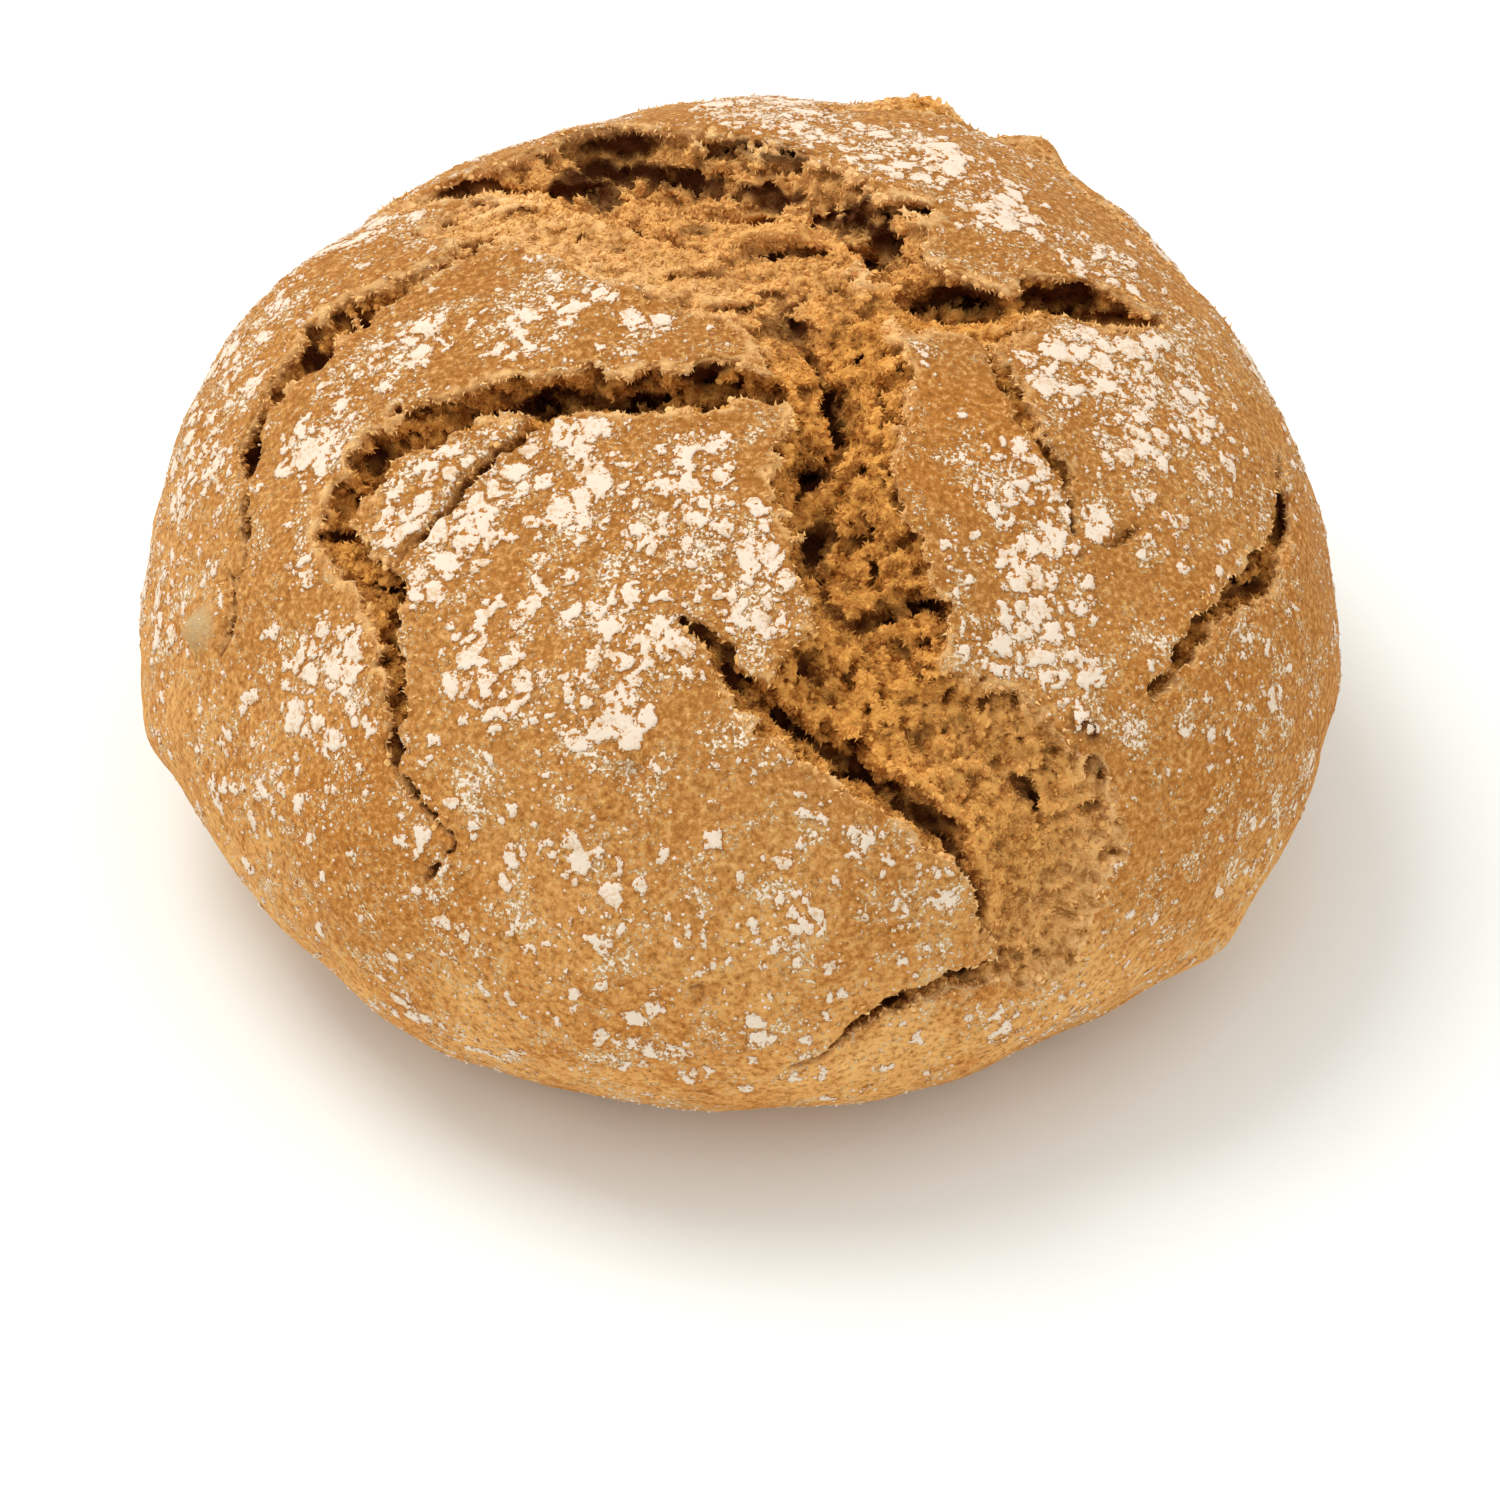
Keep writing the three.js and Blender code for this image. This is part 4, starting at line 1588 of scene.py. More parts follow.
@dataclass(frozen=True)
class Strewn:
    """Motes strewn over the roll's skin, more of them where one of its attributes is high.

    Attributes:
        name: Name of the piece.
        mote: Shape of each mote.
        attribute: The attribute that thins them out.
        density: Motes on each square millimetre where the attribute is 1.
        smallest: Size of the smallest mote.
        largest: Size of the largest mote.
        slenderness: Width of a mote as a share of its height.
        tilt: How far motes lean from the skin's normal.
        seed: Fixed seed of every draw.
        flatness: Height of a grain as a share of its length.
    """

    name: str
    mote: Mote
    attribute: str
    density: float
    smallest: float
    largest: float
    slenderness: float
    tilt: float
    seed: int
    flatness: float = 0.7

    def build(self, ground: Piece, material: Material) -> Piece:
        """Strew the motes.

        Args:
            ground: The skin to strew them on.
            material: Their finish.

        Returns:
            All the motes as one plain mesh.
        """
        tree = self._tree(material)
        piece = bpy.data.objects.new(self.name, ground.data.copy())
        bpy.context.scene.collection.objects.link(piece)
        modifier = piece.modifiers.new("strew", "NODES")
        modifier.node_group = tree
        wanted = {
            "Density": self.density / MM**2,
            "Smallest": self.smallest * MM,
            "Largest": self.largest * MM,
            "Seed": self.seed,
        }
        for socket in tree.interface.items_tree:
            if socket.name in wanted:
                modifier[socket.identifier] = wanted[socket.name]
        make_plain(piece)
        return piece

    def _tree(self, material: Material) -> Tree:
        """The node tree that strews the motes.

        Args:
            material: Finish that it sets.

        Returns:
            A geometry node tree with named inputs.
        """
        tree = bpy.data.node_groups.new(self.name, "GeometryNodeTree")
        tree.interface.new_socket("Geometry", in_out="INPUT", socket_type="NodeSocketGeometry")
        for name in ("Density", "Smallest", "Largest"):
            tree.interface.new_socket(name, in_out="INPUT", socket_type="NodeSocketFloat")
        tree.interface.new_socket("Seed", in_out="INPUT", socket_type="NodeSocketInt")
        tree.interface.new_socket("Geometry", in_out="OUTPUT", socket_type="NodeSocketGeometry")
        given = add_node(tree, "NodeGroupInput").outputs
        seed = given["Seed"]
        share = add_node(tree, "GeometryNodeInputNamedAttribute", {"Name": self.attribute})
        factors = {0: share.outputs["Attribute"], 1: given["Density"]}
        density = add_node(tree, "ShaderNodeMath", factors, operation="MULTIPLY").outputs["Value"]
        where = {"Mesh": given["Geometry"], "Density": density, "Seed": seed}
        points = add_node(tree, "GeometryNodeDistributePointsOnFaces", where).outputs
        lean = math.radians(self.tilt)
        turns = {"Min": (-lean, -lean, 0.0), "Max": (lean, lean, math.tau), "Seed": seed}
        turn = add_node(tree, "FunctionNodeRandomValue", turns, data_type="FLOAT_VECTOR")
        leaning = {"Rotation": points["Rotation"], "Rotate By": turn.outputs["Value"]}
        rotation = add_node(tree, "FunctionNodeRotateRotation", leaning, rotation_space="LOCAL")
        sizes = {RANDOM_LEAST: given["Smallest"], RANDOM_MOST: given["Largest"], "Seed": seed}
        size = add_node(tree, "FunctionNodeRandomValue", sizes, data_type="FLOAT")
        motes = add_node(tree, "GeometryNodeInstanceOnPoints", {
            "Points": points["Points"],
            "Instance": self._shape(tree),
            "Rotation": rotation.outputs["Rotation"],
            "Scale": size.outputs[RANDOM_RESULT],
        })
        instances = {"Geometry": motes.outputs["Instances"]}
        real = add_node(tree, "GeometryNodeRealizeInstances", instances)
        finish = {"Geometry": real.outputs["Geometry"], "Material": material}
        dressed = add_node(tree, "GeometryNodeSetMaterial", finish)
        add_node(tree, "NodeGroupOutput", {"Geometry": dressed.outputs["Geometry"]})
        return tree

    def _shape(self, tree: Tree) -> Socket:
        """One mote of unit height.

        Args:
            tree: The tree to add it to.

        Returns:
            The socket that gives its mesh.
        """
        if self.mote is Mote.FIBRE:
            sides = {"Vertices": 3, "Radius Bottom": 0.5 * self.slenderness, "Depth": 1.0}
            return add_node(tree, "GeometryNodeMeshCone", sides).outputs["Mesh"]
        ball = add_node(tree, "GeometryNodeMeshUVSphere", {"Segments": 5, "Rings": 3, "Radius": 0.5})
        scale = (1.0, self.slenderness, self.flatness)
        squeezed = {"Geometry": ball.outputs["Mesh"], "Scale": scale}
        return add_node(tree, "GeometryNodeTransform", squeezed).outputs["Geometry"]


def without_pinches(cell: Array) -> Array:
    """Drop cells that meet others only at a corner, so that every body is cleanly closed.

    Args:
        cell: Which cells of a grid are filled.

    Returns:
        The cells that stay.
    """
    kept = cell.copy()
    for _ in range(PINCH_PASSES):
        here = kept[:-1, :-1]
        below = kept[1:, :-1]
        beside = kept[:-1, 1:]
        across = kept[1:, 1:]
        falling = here & across & ~below & ~beside
        rising = below & beside & ~here & ~across
        if not (falling.any() or rising.any()):
            break
        here &= ~falling
        below &= ~rising
    return kept


def slab_between(top: Array, bottom: Array, cell: Array) -> tuple[Array, Array, Array]:
    """A closed slab over the filled cells of a grid.

    Args:
        top: Upper points, one row for each corner of the grid.
        bottom: Lower points, likewise.
        cell: Which cells are filled.

    Returns:
        Points, four-sided faces, and which of the upper and then lower points they use.
    """
    side = cell.shape[1] + 1
    row, column = np.nonzero(cell)
    corner = row * side + column
    upper = np.stack([corner, corner + side, corner + side + 1, corner + 1], axis=1)
    padded = np.pad(cell, 1)
    count = len(top)
    # Each side of a cell: the way to its neighbour, and the two corners between them
    sides = (((0, -1), (0, 1)), ((1, 0), (1, 2)), ((0, 1), (2, 3)), ((-1, 0), (3, 0)))
    walls = []
    for (down, across), (first, second) in sides:
        is_edge = ~padded[row + 1 + down, column + 1 + across]
        start = upper[is_edge, first]
        end = upper[is_edge, second]
        walls.append(np.stack([end, start, start + count, end + count], axis=1))
    lower = upper[:, ::-1] + count
    faces = np.vstack([upper, lower, *walls])
    used, faces = np.unique(faces, return_inverse=True)
    return np.vstack([top, bottom])[used], faces.reshape(-1, 4), used


def keep_largest(vertices: Array, faces: Array) -> tuple[Array, Array]:
    """Keep the largest body of a mesh, without loose crumbs and sealed bubbles.

    Args:
        vertices: Points, one row each.
        faces: Corner numbers of the faces, one row each.

    Returns:
        Points and faces of the largest body.
    """
    faces = faces.astype(np.int64)
    label = np.arange(len(vertices))
    while True:
        lowest = label[faces].min(axis=1)
        found = label.copy()
        for corner in range(faces.shape[1]):
            np.minimum.at(found, faces[:, corner], lowest)
        found = found[found]
        if np.array_equal(found, label):
            break
        label = found
    body = label[faces[:, 0]]
    names, sizes = np.unique(body, return_counts=True)
    kept = faces[body == names[sizes.argmax()]]
    used, kept = np.unique(kept, return_inverse=True)
    return vertices[used], kept.reshape(-1, faces.shape[1])


def mesh_object(name: str, vertices: Array, faces: Array) -> Piece:
    """A smooth-shaded mesh in the scene.

    Args:
        name: Name of the object and its mesh.
        vertices: Points in metres, one row each.
        faces: Corner numbers of the faces, one row each.

    Returns:
        The new object.
    """
    mesh = bpy.data.meshes.new(name)
    sides = faces.shape[1]
    mesh.vertices.add(len(vertices))
    mesh.vertices.foreach_set("co", np.ascontiguousarray(vertices, np.float32).ravel())
    mesh.loops.add(faces.size)
    mesh.loops.foreach_set("vertex_index", np.ascontiguousarray(faces, np.int32).ravel())
    mesh.polygons.add(len(faces))
    mesh.polygons.foreach_set("loop_start", np.arange(0, faces.size, sides, dtype=np.int32))
    mesh.update(calc_edges=True)
    mesh.polygons.foreach_set("use_smooth", np.ones(len(faces), bool))
    piece = bpy.data.objects.new(name, mesh)
    bpy.context.scene.collection.objects.link(piece)
    return piece


def mesh_points(mesh: Mesh) -> Array:
    """Points of a mesh in metres, one row each."""
    flat = np.zeros(len(mesh.vertices) * 3, np.float32)
    mesh.vertices.foreach_get("co", flat)
    return flat.reshape(-1, 3).astype(float)


def write_attribute(mesh: Mesh, name: str, values: Array) -> None:
    """Store one number for each point of a mesh under a name."""
    attribute = mesh.attributes.new(name, "FLOAT", "POINT")
    attribute.data.foreach_set("value", np.ascontiguousarray(values, np.float32))


def make_plain(piece: Piece) -> None:
    """Turn what a piece's modifiers show into its own plain mesh, without them."""
    depsgraph = bpy.context.evaluated_depsgraph_get()
    shown = bpy.data.meshes.new_from_object(piece.evaluated_get(depsgraph), depsgraph=depsgraph)
    piece.modifiers.clear()
    piece.data = shown
    shown.name = piece.name


def thin_to(piece: Piece, triangle_limit: int) -> None:
    """Collapse the flattest edges until a mesh has few enough triangles.

    Args:
        piece: The object to thin.
        triangle_limit: Most triangles to leave.
    """
    count = sum(len(face.vertices) - 2 for face in piece.data.polygons)
    collapse = piece.modifiers.new("thin", "DECIMATE")
    collapse.ratio = min(1.0, triangle_limit / count)
    collapse.use_collapse_triangulate = True
    make_plain(piece)


def linear(hex_colour: str) -> tuple[float, float, float, float]:
    """Linear colour of an sRGB hex value such as #BA8448.

    Args:
        hex_colour: The sRGB value.

    Returns:
        Red, green, blue and full opacity.
    """
    channels = []
    for start in (1, 3, 5):
        value = int(hex_colour[start:start + 2], 16) / 255.0
        channels.append(value / 12.92 if value <= 0.04045 else ((value + 0.055) / 1.055) ** 2.4)
    return (*channels, 1.0)


def add_node(tree: Tree, kind: str, inputs: dict | None = None, **settings: object) -> bpy.types.Node:
    """Add a node with its settings and links.

    Args:
        tree: The tree to add to.
        kind: Blender's name of the node's type.
        inputs: For each input by name or number, a socket to link or a value to set.
        settings: Properties of the node.

    Returns:
        The new node.
    """
    node = tree.nodes.new(kind)
    for name, value in settings.items():
        setattr(node, name, value)
    for name, value in (inputs or {}).items():
        if isinstance(value, Socket):
            tree.links.new(value, node.inputs[name])
        else:
            node.inputs[name].default_value = value
    return node


@dataclass(frozen=True)
class Pattern:
    """Noise in a finish.

    Attributes:
        size: How many millimetres across its lumps are.
        detail: How many finer layers it has.
        roughness: How strong the finer layers are.
    """

    size: float
    detail: float
    roughness: float = 0.5

    def inputs(self, spot: Socket) -> dict[str, object]:
        """Inputs of a noise texture, for spots in metres."""
        scale = 1.0 / (self.size * MM)
        return {"Vector": spot, "Scale": scale, "Detail": self.detail, "Roughness": self.roughness}


def lay_over(tree: Tree, under: Colour, coat: Colour, reading: Socket, ramp: Ramp = WHOLE) -> Socket:
    """Lay one colour over another where a reading calls for it.

    Args:
        tree: The material's tree.
        under: The lower colour.
        coat: The upper colour.
        reading: What decides between them at each shaded point.
        ramp: The reading where the coat starts, and the one where it hides what is under it.

    Returns:
        The mixed colour's socket.
    """
    span = {"Value": reading, "From Min": ramp.low, "From Max": ramp.high}
    share = add_node(tree, "ShaderNodeMapRange", span).outputs["Result"]
    first, second = (linear(one) if isinstance(one, str) else one for one in (under, coat))
    colours = {MIX_SHARE: share, MIX_UNDER: first, MIX_OVER: second}
    return add_node(tree, "ShaderNodeMix", colours, data_type="RGBA").outputs[MIX_RESULT]


def new_material(name: str) -> Material:
    """An empty node material."""
    material = bpy.data.materials.new(name)
    material.use_nodes = True
    material.node_tree.nodes.clear()
    return material


@dataclass(frozen=True)
class Finish:
    """A matt finish of bread; each kind says what its colour and fine relief are.

    Attributes:
        name: What the material is.
        roughness: How matt it is.
        specular: How strong its faint shine is.
    """

    name: str
    roughness: float
    specular: float

    def material(self) -> Material:
        """The finish as a node material."""
        material = new_material(self.name)
        tree = material.node_tree
        spot = add_node(tree, "ShaderNodeTexCoord").outputs["Object"]
        shader = add_node(tree, "ShaderNodeBsdfPrincipled", {
            **self.surface(tree, spot),
            "Roughness": self.roughness,
            "IOR": BREAD_IOR,
            "Specular IOR Level": self.specular,
        })
        add_node(tree, "ShaderNodeOutputMaterial", {"Surface": shader.outputs["BSDF"]})
        return material

    def surface(self, tree: Tree, spot: Socket) -> dict[str, Socket]:
        """Colour of the finish and, where it has relief, its bumped normal.

        Args:
            tree: The material's tree.
            spot: Where each shaded point is.

        Returns:
            Sockets, by the shader's input that they go to.
        """
        raise NotImplementedError


@dataclass(frozen=True)
class CrumbFinish(Finish):
    """Torn crumb: spongy, straw to brown by its bake, with highlights painted on its crests and
    shreds and shade painted in its pores, dents and hollows.
    """

    # Gives the eye dry, soft bits without any shine
    name: str = "torn_crumb"
    roughness: float = 0.9
    specular: float = 0.06
    # Colours, in pairs from barely baked crumb to well baked crumb; the pits are painted shade, and
    # deep is painted shade where the crumb is most shut in
    straw: str = "#F6D29C"
    pale: str = "#E4A550"
    tan: str = "#E2B06A"
    brown: str = "#975519"
    pale_pit: str = "#CC8A40"
    pit: str = "#562B08"
    deep: str = "#52280F"
    # Noises, and the readings between which each colour takes over
    mottle: Pattern = Pattern(1.3, 5.0)
    sponge: Pattern = Pattern(0.45, 4.0, 0.62)
    mottled: Ramp = Ramp(0.36, 0.64)
    # Where shade is painted in pores and dents, highlights on walls and crests, and deep shade where
    # most shut in
    pores: Ramp = Ramp(0.47, 0.3)
    shaded_nooks: Ramp = Ramp(0.52, 0.76)
    walls: Ramp = Ramp(0.54, 0.68)
    lit_ridges: Ramp = Ramp(0.48, 0.34)
    shaded_caves: Ramp = Ramp(0.62, 0.8)

    def surface(self, tree: Tree, spot: Socket) -> dict[str, Socket]:
        """Colour of loose bits of crumb, which have no finer relief."""
        sponge = add_node(tree, "ShaderNodeTexNoise", self.sponge.inputs(spot)).outputs["Fac"]
        return {"Base Color": self.colour(tree, spot, sponge)}

    def colour(self, tree: Tree, spot: Socket, sponge: Socket) -> Socket:
        """Colour of the crumb, with highlights and shade painted in.

        Args:
            tree: The material's tree.
            spot: Where each shaded point is.
            sponge: Fine noise, low in pores and high on the walls between them.

        Returns:
            The colour's socket.
        """
        nook, cave, bake = (
            add_node(tree, "ShaderNodeAttribute", attribute_name=name).outputs["Fac"]
            for name in ("nook", "cave", "bake")
        )
        mottle = add_node(tree, "ShaderNodeTexNoise", self.mottle.inputs(spot)).outputs["Fac"]
        light = lay_over(tree, self.straw, self.pale, bake)
        dark = lay_over(tree, self.tan, self.brown, bake)
        pit = lay_over(tree, self.pale_pit, self.pit, bake)
        colour = lay_over(tree, dark, light, mottle, self.mottled)
        # Painted shade: the pit colour in the sponge's pores and in shut-in dents
        colour = lay_over(tree, colour, pit, sponge, self.pores)
        colour = lay_over(tree, colour, pit, nook, self.shaded_nooks)
        # Painted highlights: the light colour on the sponge's walls and on exposed crests
        colour = lay_over(tree, colour, light, sponge, self.walls)
        colour = lay_over(tree, colour, light, nook, self.lit_ridges)
        # Painted shade: deep brown where the crumb is most shut in
        return lay_over(tree, colour, self.deep, cave, self.shaded_caves)


@dataclass(frozen=True)
class CrustFinish(Finish):
    """Baked crust: a matt, grainy gold brown, dusted with flour, with crumb where it is torn."""

    # Gives the eye a dry, grainy skin with white specks, which turns to sponge in the tears
    name: str = "baked_crust"
    roughness: float = 0.85
    specular: float = 0.12
    crumb: CrumbFinish = CrumbFinish()
    # Colours
    gold: str = "#F3B86D"
    brown: str = "#CB843D"
    top: str = "#AE7234"
    # Browner patches: shade painted on the right flank, a browner bake elsewhere
    toast_and_shade: str = "#B8742F"
    # Partly the crust's own speckle, partly shade painted in the grain's low spots and highlights on
    # its high spots
    grain_shade: str = "#87521C"
    grain_highlight: str = "#E8B873"
    cream: str = "#EBCB9C"
    flour: str = "#EFDFCD"
    # Shade painted in two small pits, and scorch on a lump
    scorch_and_pit_shade: str = "#4E2410"
    blister: str = "#BFA578"
    # Noises
    cloud: Pattern = Pattern(9.0, 3.0)
    mottle: Pattern = Pattern(1.6, 5.0)
    grain: Pattern = Pattern(0.5, 5.0, 0.65)
    speck: Pattern = Pattern(0.32, 3.0, 0.6)
    drift: Pattern = Pattern(3.2, 4.0, 0.6)
    drift_weight: float = 0.9
    dust_weight: float = 0.12
    # The readings between which each colour takes over; the crown's are metres of height
    clouded: Ramp = Ramp(0.38, 0.62)
    crown: Ramp = Ramp(0.014, 0.05)
    toasted_and_shaded: Ramp = Ramp(0.0, 1.5)
    # Painted shade and highlights follow the same grain that bumps the crust
    grain_shaded: Ramp = Ramp(0.52, 0.28)
    grain_lit: Ramp = Ramp(0.52, 0.74)
    frayed: Ramp = Ramp(0.68, 0.98)
    creamy: Ramp = Ramp(1.07, 1.14)
    white: Ramp = Ramp(1.15, 1.23)
    # Fine relief, in millimetres, and how flour adds to it
    gritty: Ramp = Ramp(1.07, 1.17)
    grit_weight: float = 0.5
    crust_relief: float = 0.28
    crumb_relief: float = 0.45
    relief_strength: float = 0.8

    def surface(self, tree: Tree, spot: Socket) -> dict[str, Socket]:
        """Colour and relief of the roll's whole skin."""
        torn = add_node(tree, "ShaderNodeAttribute", attribute_name="torn").outputs["Fac"]
        grain, mottle, sponge = (
            add_node(tree, "ShaderNodeTexNoise", pattern.inputs(spot)).outputs["Fac"]
            for pattern in (self.grain, self.mottle, self.crumb.sponge)
        )
        dusting = self._dusting(tree, spot)
        crust = self._crust(tree, spot, grain, mottle)
        crust = lay_over(tree, crust, self.cream, dusting, self.creamy)
        crust = lay_over(tree, crust, self.flour, dusting, self.white)
        fraying = add_node(tree, "ShaderNodeMath", {0: torn, 1: mottle}, operation="ADD")
        crumb = self.crumb.colour(tree, spot, sponge)
        return {
            "Base Color": lay_over(tree, crust, crumb, fraying.outputs["Value"], self.frayed),
            "Normal": self._relief(tree, torn, grain, sponge, dusting),
        }

    def _crust(self, tree: Tree, spot: Socket, grain: Socket, mottle: Socket) -> Socket:
        """Colour of the untorn crust under its dust, with some shade and highlights painted in.

        Args:
            tree: The material's tree.
            spot: Where each shaded point is.
            grain: Fine noise.
            mottle: Coarser noise.

        Returns:
            The colour's socket.
        """
        toast_and_shade, scorch_and_pit_shade, blister = (
            add_node(tree, "ShaderNodeAttribute", attribute_name=name).outputs["Fac"]
            for name in ("toast_and_shade", "scorch_and_pit_shade", "blister")
        )
        cloud = add_node(tree, "ShaderNodeTexNoise", self.cloud.inputs(spot)).outputs["Fac"]
        height = add_node(tree, "ShaderNodeSeparateXYZ", {"Vector": spot}).outputs["Z"]
        halves = {"Factor": 0.5, "A": cloud, "B": mottle}
        even = add_node(tree, "ShaderNodeMix", halves).outputs["Result"]
        colour = lay_over(tree, self.brown, self.gold, even, self.clouded)
        colour = lay_over(tree, colour, self.top, height, self.crown)
        # Browner patches: shade painted on the right flank, a browner bake elsewhere
        colour = lay_over(tree, colour, self.toast_and_shade, toast_and_shade, self.toasted_and_shaded)
        # Shade painted in the grain's low spots and highlights on its high spots, where the same
        # grain bumps the normal
        colour = lay_over(tree, colour, self.grain_shade, grain, self.grain_shaded)
        colour = lay_over(tree, colour, self.grain_highlight, grain, self.grain_lit)
        # Painted shade in the two small pits, and dark scorch spots on the lump
        colour = lay_over(tree, colour, self.scorch_and_pit_shade, scorch_and_pit_shade)
        return lay_over(tree, colour, self.blister, blister)

    def _dusting(self, tree: Tree, spot: Socket) -> Socket:
        """How readily flour sticks: specks, gathered in drifts and around the flakes.

        Args:
            tree: The material's tree.
            spot: Where each shaded point is.

        Returns:
            The reading's socket.
        """
        dust = add_node(tree, "ShaderNodeAttribute", attribute_name="dust").outputs["Fac"]
        specks, drifts = (
            add_node(tree, "ShaderNodeTexNoise", pattern.inputs(spot)).outputs["Fac"]
            for pattern in (self.speck, self.drift)
        )
        sticking = specks
        for reading, weight in ((drifts, self.drift_weight), (dust, self.dust_weight)):
            terms = {0: reading, 1: weight, 2: sticking}
            added = add_node(tree, "ShaderNodeMath", terms, operation="MULTIPLY_ADD")
            sticking = added.outputs["Value"]
        return sticking

    def _relief(
        self, tree: Tree, torn: Socket, grain: Socket, sponge: Socket, dusting: Socket
    ) -> Socket:
        """Fine relief: grain and specks of flour on the crust, and sponge in the crumb.

        Args:
            tree: The material's tree.
            torn: How torn each shaded point is.
            grain: The crust's fine noise.
            sponge: The crumb's fine noise.
            dusting: How readily flour sticks.

        Returns:
            The bumped normal's socket.
        """
        span = {"Value": dusting, "From Min": self.gritty.low, "From Max": self.gritty.high}
        grit = add_node(tree, "ShaderNodeMapRange", span).outputs["Result"]
        terms = {0: grit, 1: self.grit_weight, 2: grain}
        rough = add_node(tree, "ShaderNodeMath", terms, operation="MULTIPLY_ADD").outputs["Value"]
        heights = {"Factor": torn, "A": rough, "B": sponge}
        reaches = {"Value": torn, "To Min": self.crust_relief * MM, "To Max": self.crumb_relief * MM}
        bump = add_node(tree, "ShaderNodeBump", {
            "Height": add_node(tree, "ShaderNodeMix", heights).outputs["Result"],
            "Strength": self.relief_strength,
            "Distance": add_node(tree, "ShaderNodeMapRange", reaches).outputs["Result"],
        })
        return bump.outputs["Normal"]


@dataclass(frozen=True)
class FlourFinish(Finish):
    """Dried flour: a chalky, faintly pink white that crumbles away to bare crust at its rims."""

    # Gives the eye chalk white blotches with brown chips, powdery and without shine
    name: str = "dried_flour"
    roughness: float = 0.95
    specular: float = 0.1
    white: str = "#E5D3BD"
    thin: str = "#D2B18B"
    crust: str = "#B27636"
    blotch: Pattern = Pattern(1.6, 2.0)
    powder: Pattern = Pattern(0.3, 3.0)
    chip: Pattern = Pattern(0.45, 4.0, 0.65)
    whitened: Ramp = Ramp(0.36, 0.48)
    chipped: Ramp = Ramp(0.76, 0.8)
    chip_weight: float = 0.3
    relief: float = 0.12
    relief_strength: float = 0.6

    def surface(self, tree: Tree, spot: Socket) -> dict[str, Socket]:
        """Colour and relief of flakes and grains of flour."""
        bare = add_node(tree, "ShaderNodeAttribute", attribute_name="bare").outputs["Fac"]
        powder, blotch, chips = (
            add_node(tree, "ShaderNodeTexNoise", pattern.inputs(spot)).outputs["Fac"]
            for pattern in (self.powder, self.blotch, self.chip)
        )
        halves = {"Factor": 0.5, "A": powder, "B": blotch}
        even = add_node(tree, "ShaderNodeMix", halves).outputs["Result"]
        film = lay_over(tree, self.thin, self.white, even, self.whitened)
        terms = {0: bare, 1: self.chip_weight, 2: chips}
        gone = add_node(tree, "ShaderNodeMath", terms, operation="MULTIPLY_ADD").outputs["Value"]
        grit = {"Height": powder, "Strength": self.relief_strength, "Distance": self.relief * MM}
        return {
            "Base Color": lay_over(tree, film, self.crust, gone, self.chipped),
            "Normal": add_node(tree, "ShaderNodeBump", grit).outputs["Normal"],
        }


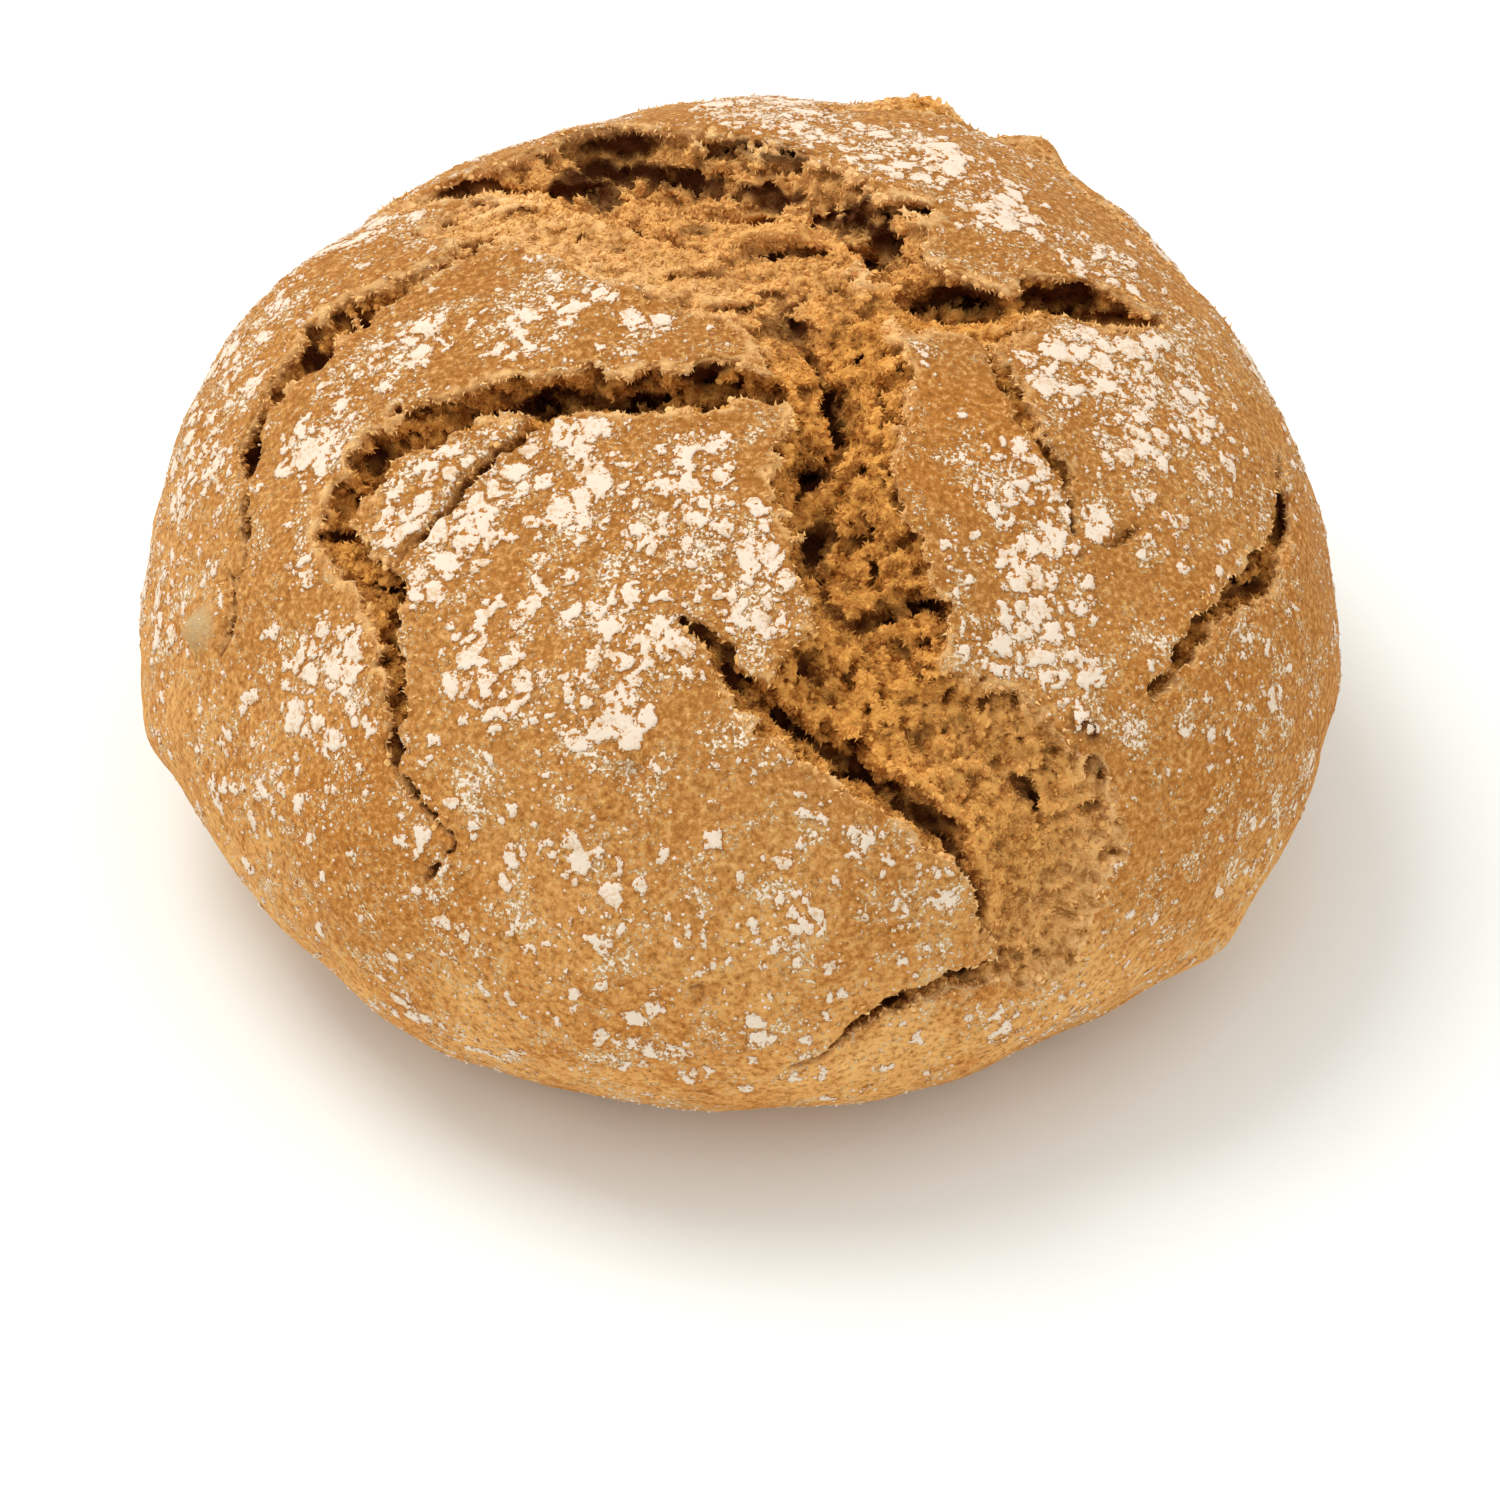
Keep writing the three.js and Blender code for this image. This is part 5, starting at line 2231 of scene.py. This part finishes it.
@dataclass
class Studio:
    """Pale floor, soft light from the upper left, and the camera at the photo's angle."""

    dome: Dome
    # The camera: degrees over the horizon, millimetres away, and where the photo shows the middle
    elevation: float = 42.0
    distance: float = 650.0
    pixels_a_millimetre: float = 12.0
    left_of_middle: float = 10.0
    above_middle: float = 131.0
    sensor: float = 36.0
    nearest_seen: float = 10.0
    # The floor, and even light from all round
    floor_side: float = 12_000.0
    floor_colour: str = "#F0F4F0"
    floor_roughness: float = 0.9
    sky_colour: str = "#FFFFFF"
    sky_strength: float = 0.98
    # One lamp, in metres and watts
    lamp_size: float = 0.5
    lamp_energy: float = 4.0
    lamp_place: tuple[float, float, float] = (-0.34, 0.2, 0.86)

    def build(self) -> None:
        """Set up the stage, the lights and the camera."""
        scene = bpy.context.scene
        scene.view_settings.view_transform = "Standard"
        self._floor()
        self._world()
        self._key_light()
        scene.camera = self._camera()

    def _floor(self) -> None:
        """A plain pale floor, which isn't part of the roll."""
        half = 0.5 * self.floor_side * MM
        corners = [(-half, -half, 0.0), (half, -half, 0.0), (half, half, 0.0), (-half, half, 0.0)]
        floor = mesh_object("floor", np.array(corners), np.array([(0, 1, 2, 3)]))
        # A matt near-white, which looks like bare paper
        material = new_material("pale_floor")
        tree = material.node_tree
        shader = add_node(tree, "ShaderNodeBsdfPrincipled", {
            "Base Color": linear(self.floor_colour),
            "Roughness": self.floor_roughness,
            "Specular IOR Level": 0.0,
        })
        add_node(tree, "ShaderNodeOutputMaterial", {"Surface": shader.outputs["BSDF"]})
        floor.data.materials.append(material)

    def _world(self) -> None:
        """Even white light from all round."""
        world = bpy.data.worlds.new("studio")
        world.use_nodes = True
        tree = world.node_tree
        tree.nodes.clear()
        light = {"Color": linear(self.sky_colour), "Strength": self.sky_strength}
        sky = add_node(tree, "ShaderNodeBackground", light)
        add_node(tree, "ShaderNodeOutputWorld", {"Surface": sky.outputs["Background"]})
        bpy.context.scene.world = world

    def _key_light(self) -> None:
        """One broad soft light at the upper left, a little behind."""
        light = bpy.data.lights.new("key", "AREA")
        light.shape = "DISK"
        light.size = self.lamp_size
        light.energy = self.lamp_energy
        lamp = bpy.data.objects.new("key", light)
        lamp.location = self.lamp_place
        aim = Vector(self.dome.middle * MM) - lamp.location
        lamp.rotation_euler = aim.to_track_quat("-Z", "Y").to_euler()
        bpy.context.scene.collection.objects.link(lamp)

    def _camera(self) -> bpy.types.Object:
        """The camera, which sees the roll's middle where the photo shows it.

        Returns:
            The camera's object.
        """
        upward, toward = (Vector(axis) for axis in leaning_axes(self.elevation))
        middle = Vector(self.dome.middle)
        offset = Vector((1.0, 0.0, 0.0)) * self.left_of_middle - upward * self.above_middle
        aim = middle + offset / self.pixels_a_millimetre
        place = middle + toward * self.distance
        data = bpy.data.cameras.new("camera")
        data.sensor_width = self.sensor
        data.lens = self.sensor * self.pixels_a_millimetre * self.distance / PHOTO_SIDE
        data.clip_start = self.nearest_seen * MM
        camera = bpy.data.objects.new("camera", data)
        camera.location = place * MM
        camera.rotation_euler = (aim - place).to_track_quat("-Z", "Y").to_euler()
        bpy.context.scene.collection.objects.link(camera)
        return camera


FLOUR_GRAINS = Strewn(
    name="flour_grains",
    mote=Mote.GRAIN,
    attribute="dust",
    density=1.6,
    smallest=0.18,
    largest=0.45,
    slenderness=0.8,
    tilt=40.0,
    seed=71,
)
CRUMB_SHREDS = Strewn(
    name="crumb_shreds",
    mote=Mote.FIBRE,
    attribute="fuzz",
    density=7.0,
    smallest=0.2,
    largest=0.55,
    slenderness=0.6,
    tilt=65.0,
    seed=72,
)
CRUMB_GRANULES = Strewn(
    name="crumb_granules",
    mote=Mote.GRAIN,
    attribute="granular",
    density=1.1,
    smallest=0.3,
    largest=0.9,
    slenderness=0.8,
    tilt=60.0,
    seed=73,
)
# A lighter copy of the crumb finish for loose shreds and granules: light painted on bits that stand
# out, and lighter painted shade in their pits
LIT_LOOSE_CRUMB = CrumbFinish(
    name="crumb_shreds",
    straw="#F5D096",
    pale="#E5A957",
    tan="#E3B066",
    brown="#AC6B29",
    pit="#7E4A18",
)


def finish_piece(piece: Piece, material: Material, stands_for: str | None = None) -> None:
    """Dress a piece and make it ride on the roll's body.

    Args:
        piece: The finished piece.
        material: Its finish.
        stands_for: The solid that it replaces, if any.
    """
    piece.data.materials.clear()
    piece.data.materials.append(material)
    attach(piece, BODY)
    if stands_for:
        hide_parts(stands_for)
    LOG.info("%s: %d faces", piece.name, len(piece.data.polygons))


def main() -> None:
    """Build the roll around the frame, dress it and set up the studio."""
    logging.basicConfig(level=logging.INFO, format="%(message)s")
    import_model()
    chart = CrustMap(Dome())
    layers = TornSkin(chart).build()
    LOG.info("map drawn: %d places", len(layers))
    voxel = BreadRoll.voxel
    roll = BreadRoll(chart, layers, voxel).build()
    finish_piece(roll, CrustFinish().material(), NODE)
    flour = FlourFinish().material()
    finish_piece(FlourFlakes(chart, layers).build(), flour)
    finish_piece(FLOUR_GRAINS.build(roll, flour), flour)
    crumb = LIT_LOOSE_CRUMB.material()
    finish_piece(CRUMB_SHREDS.build(roll, crumb), crumb)
    finish_piece(CRUMB_GRANULES.build(roll, crumb), crumb)
    Studio(chart.dome).build()


if __name__ == "__main__":
    main()
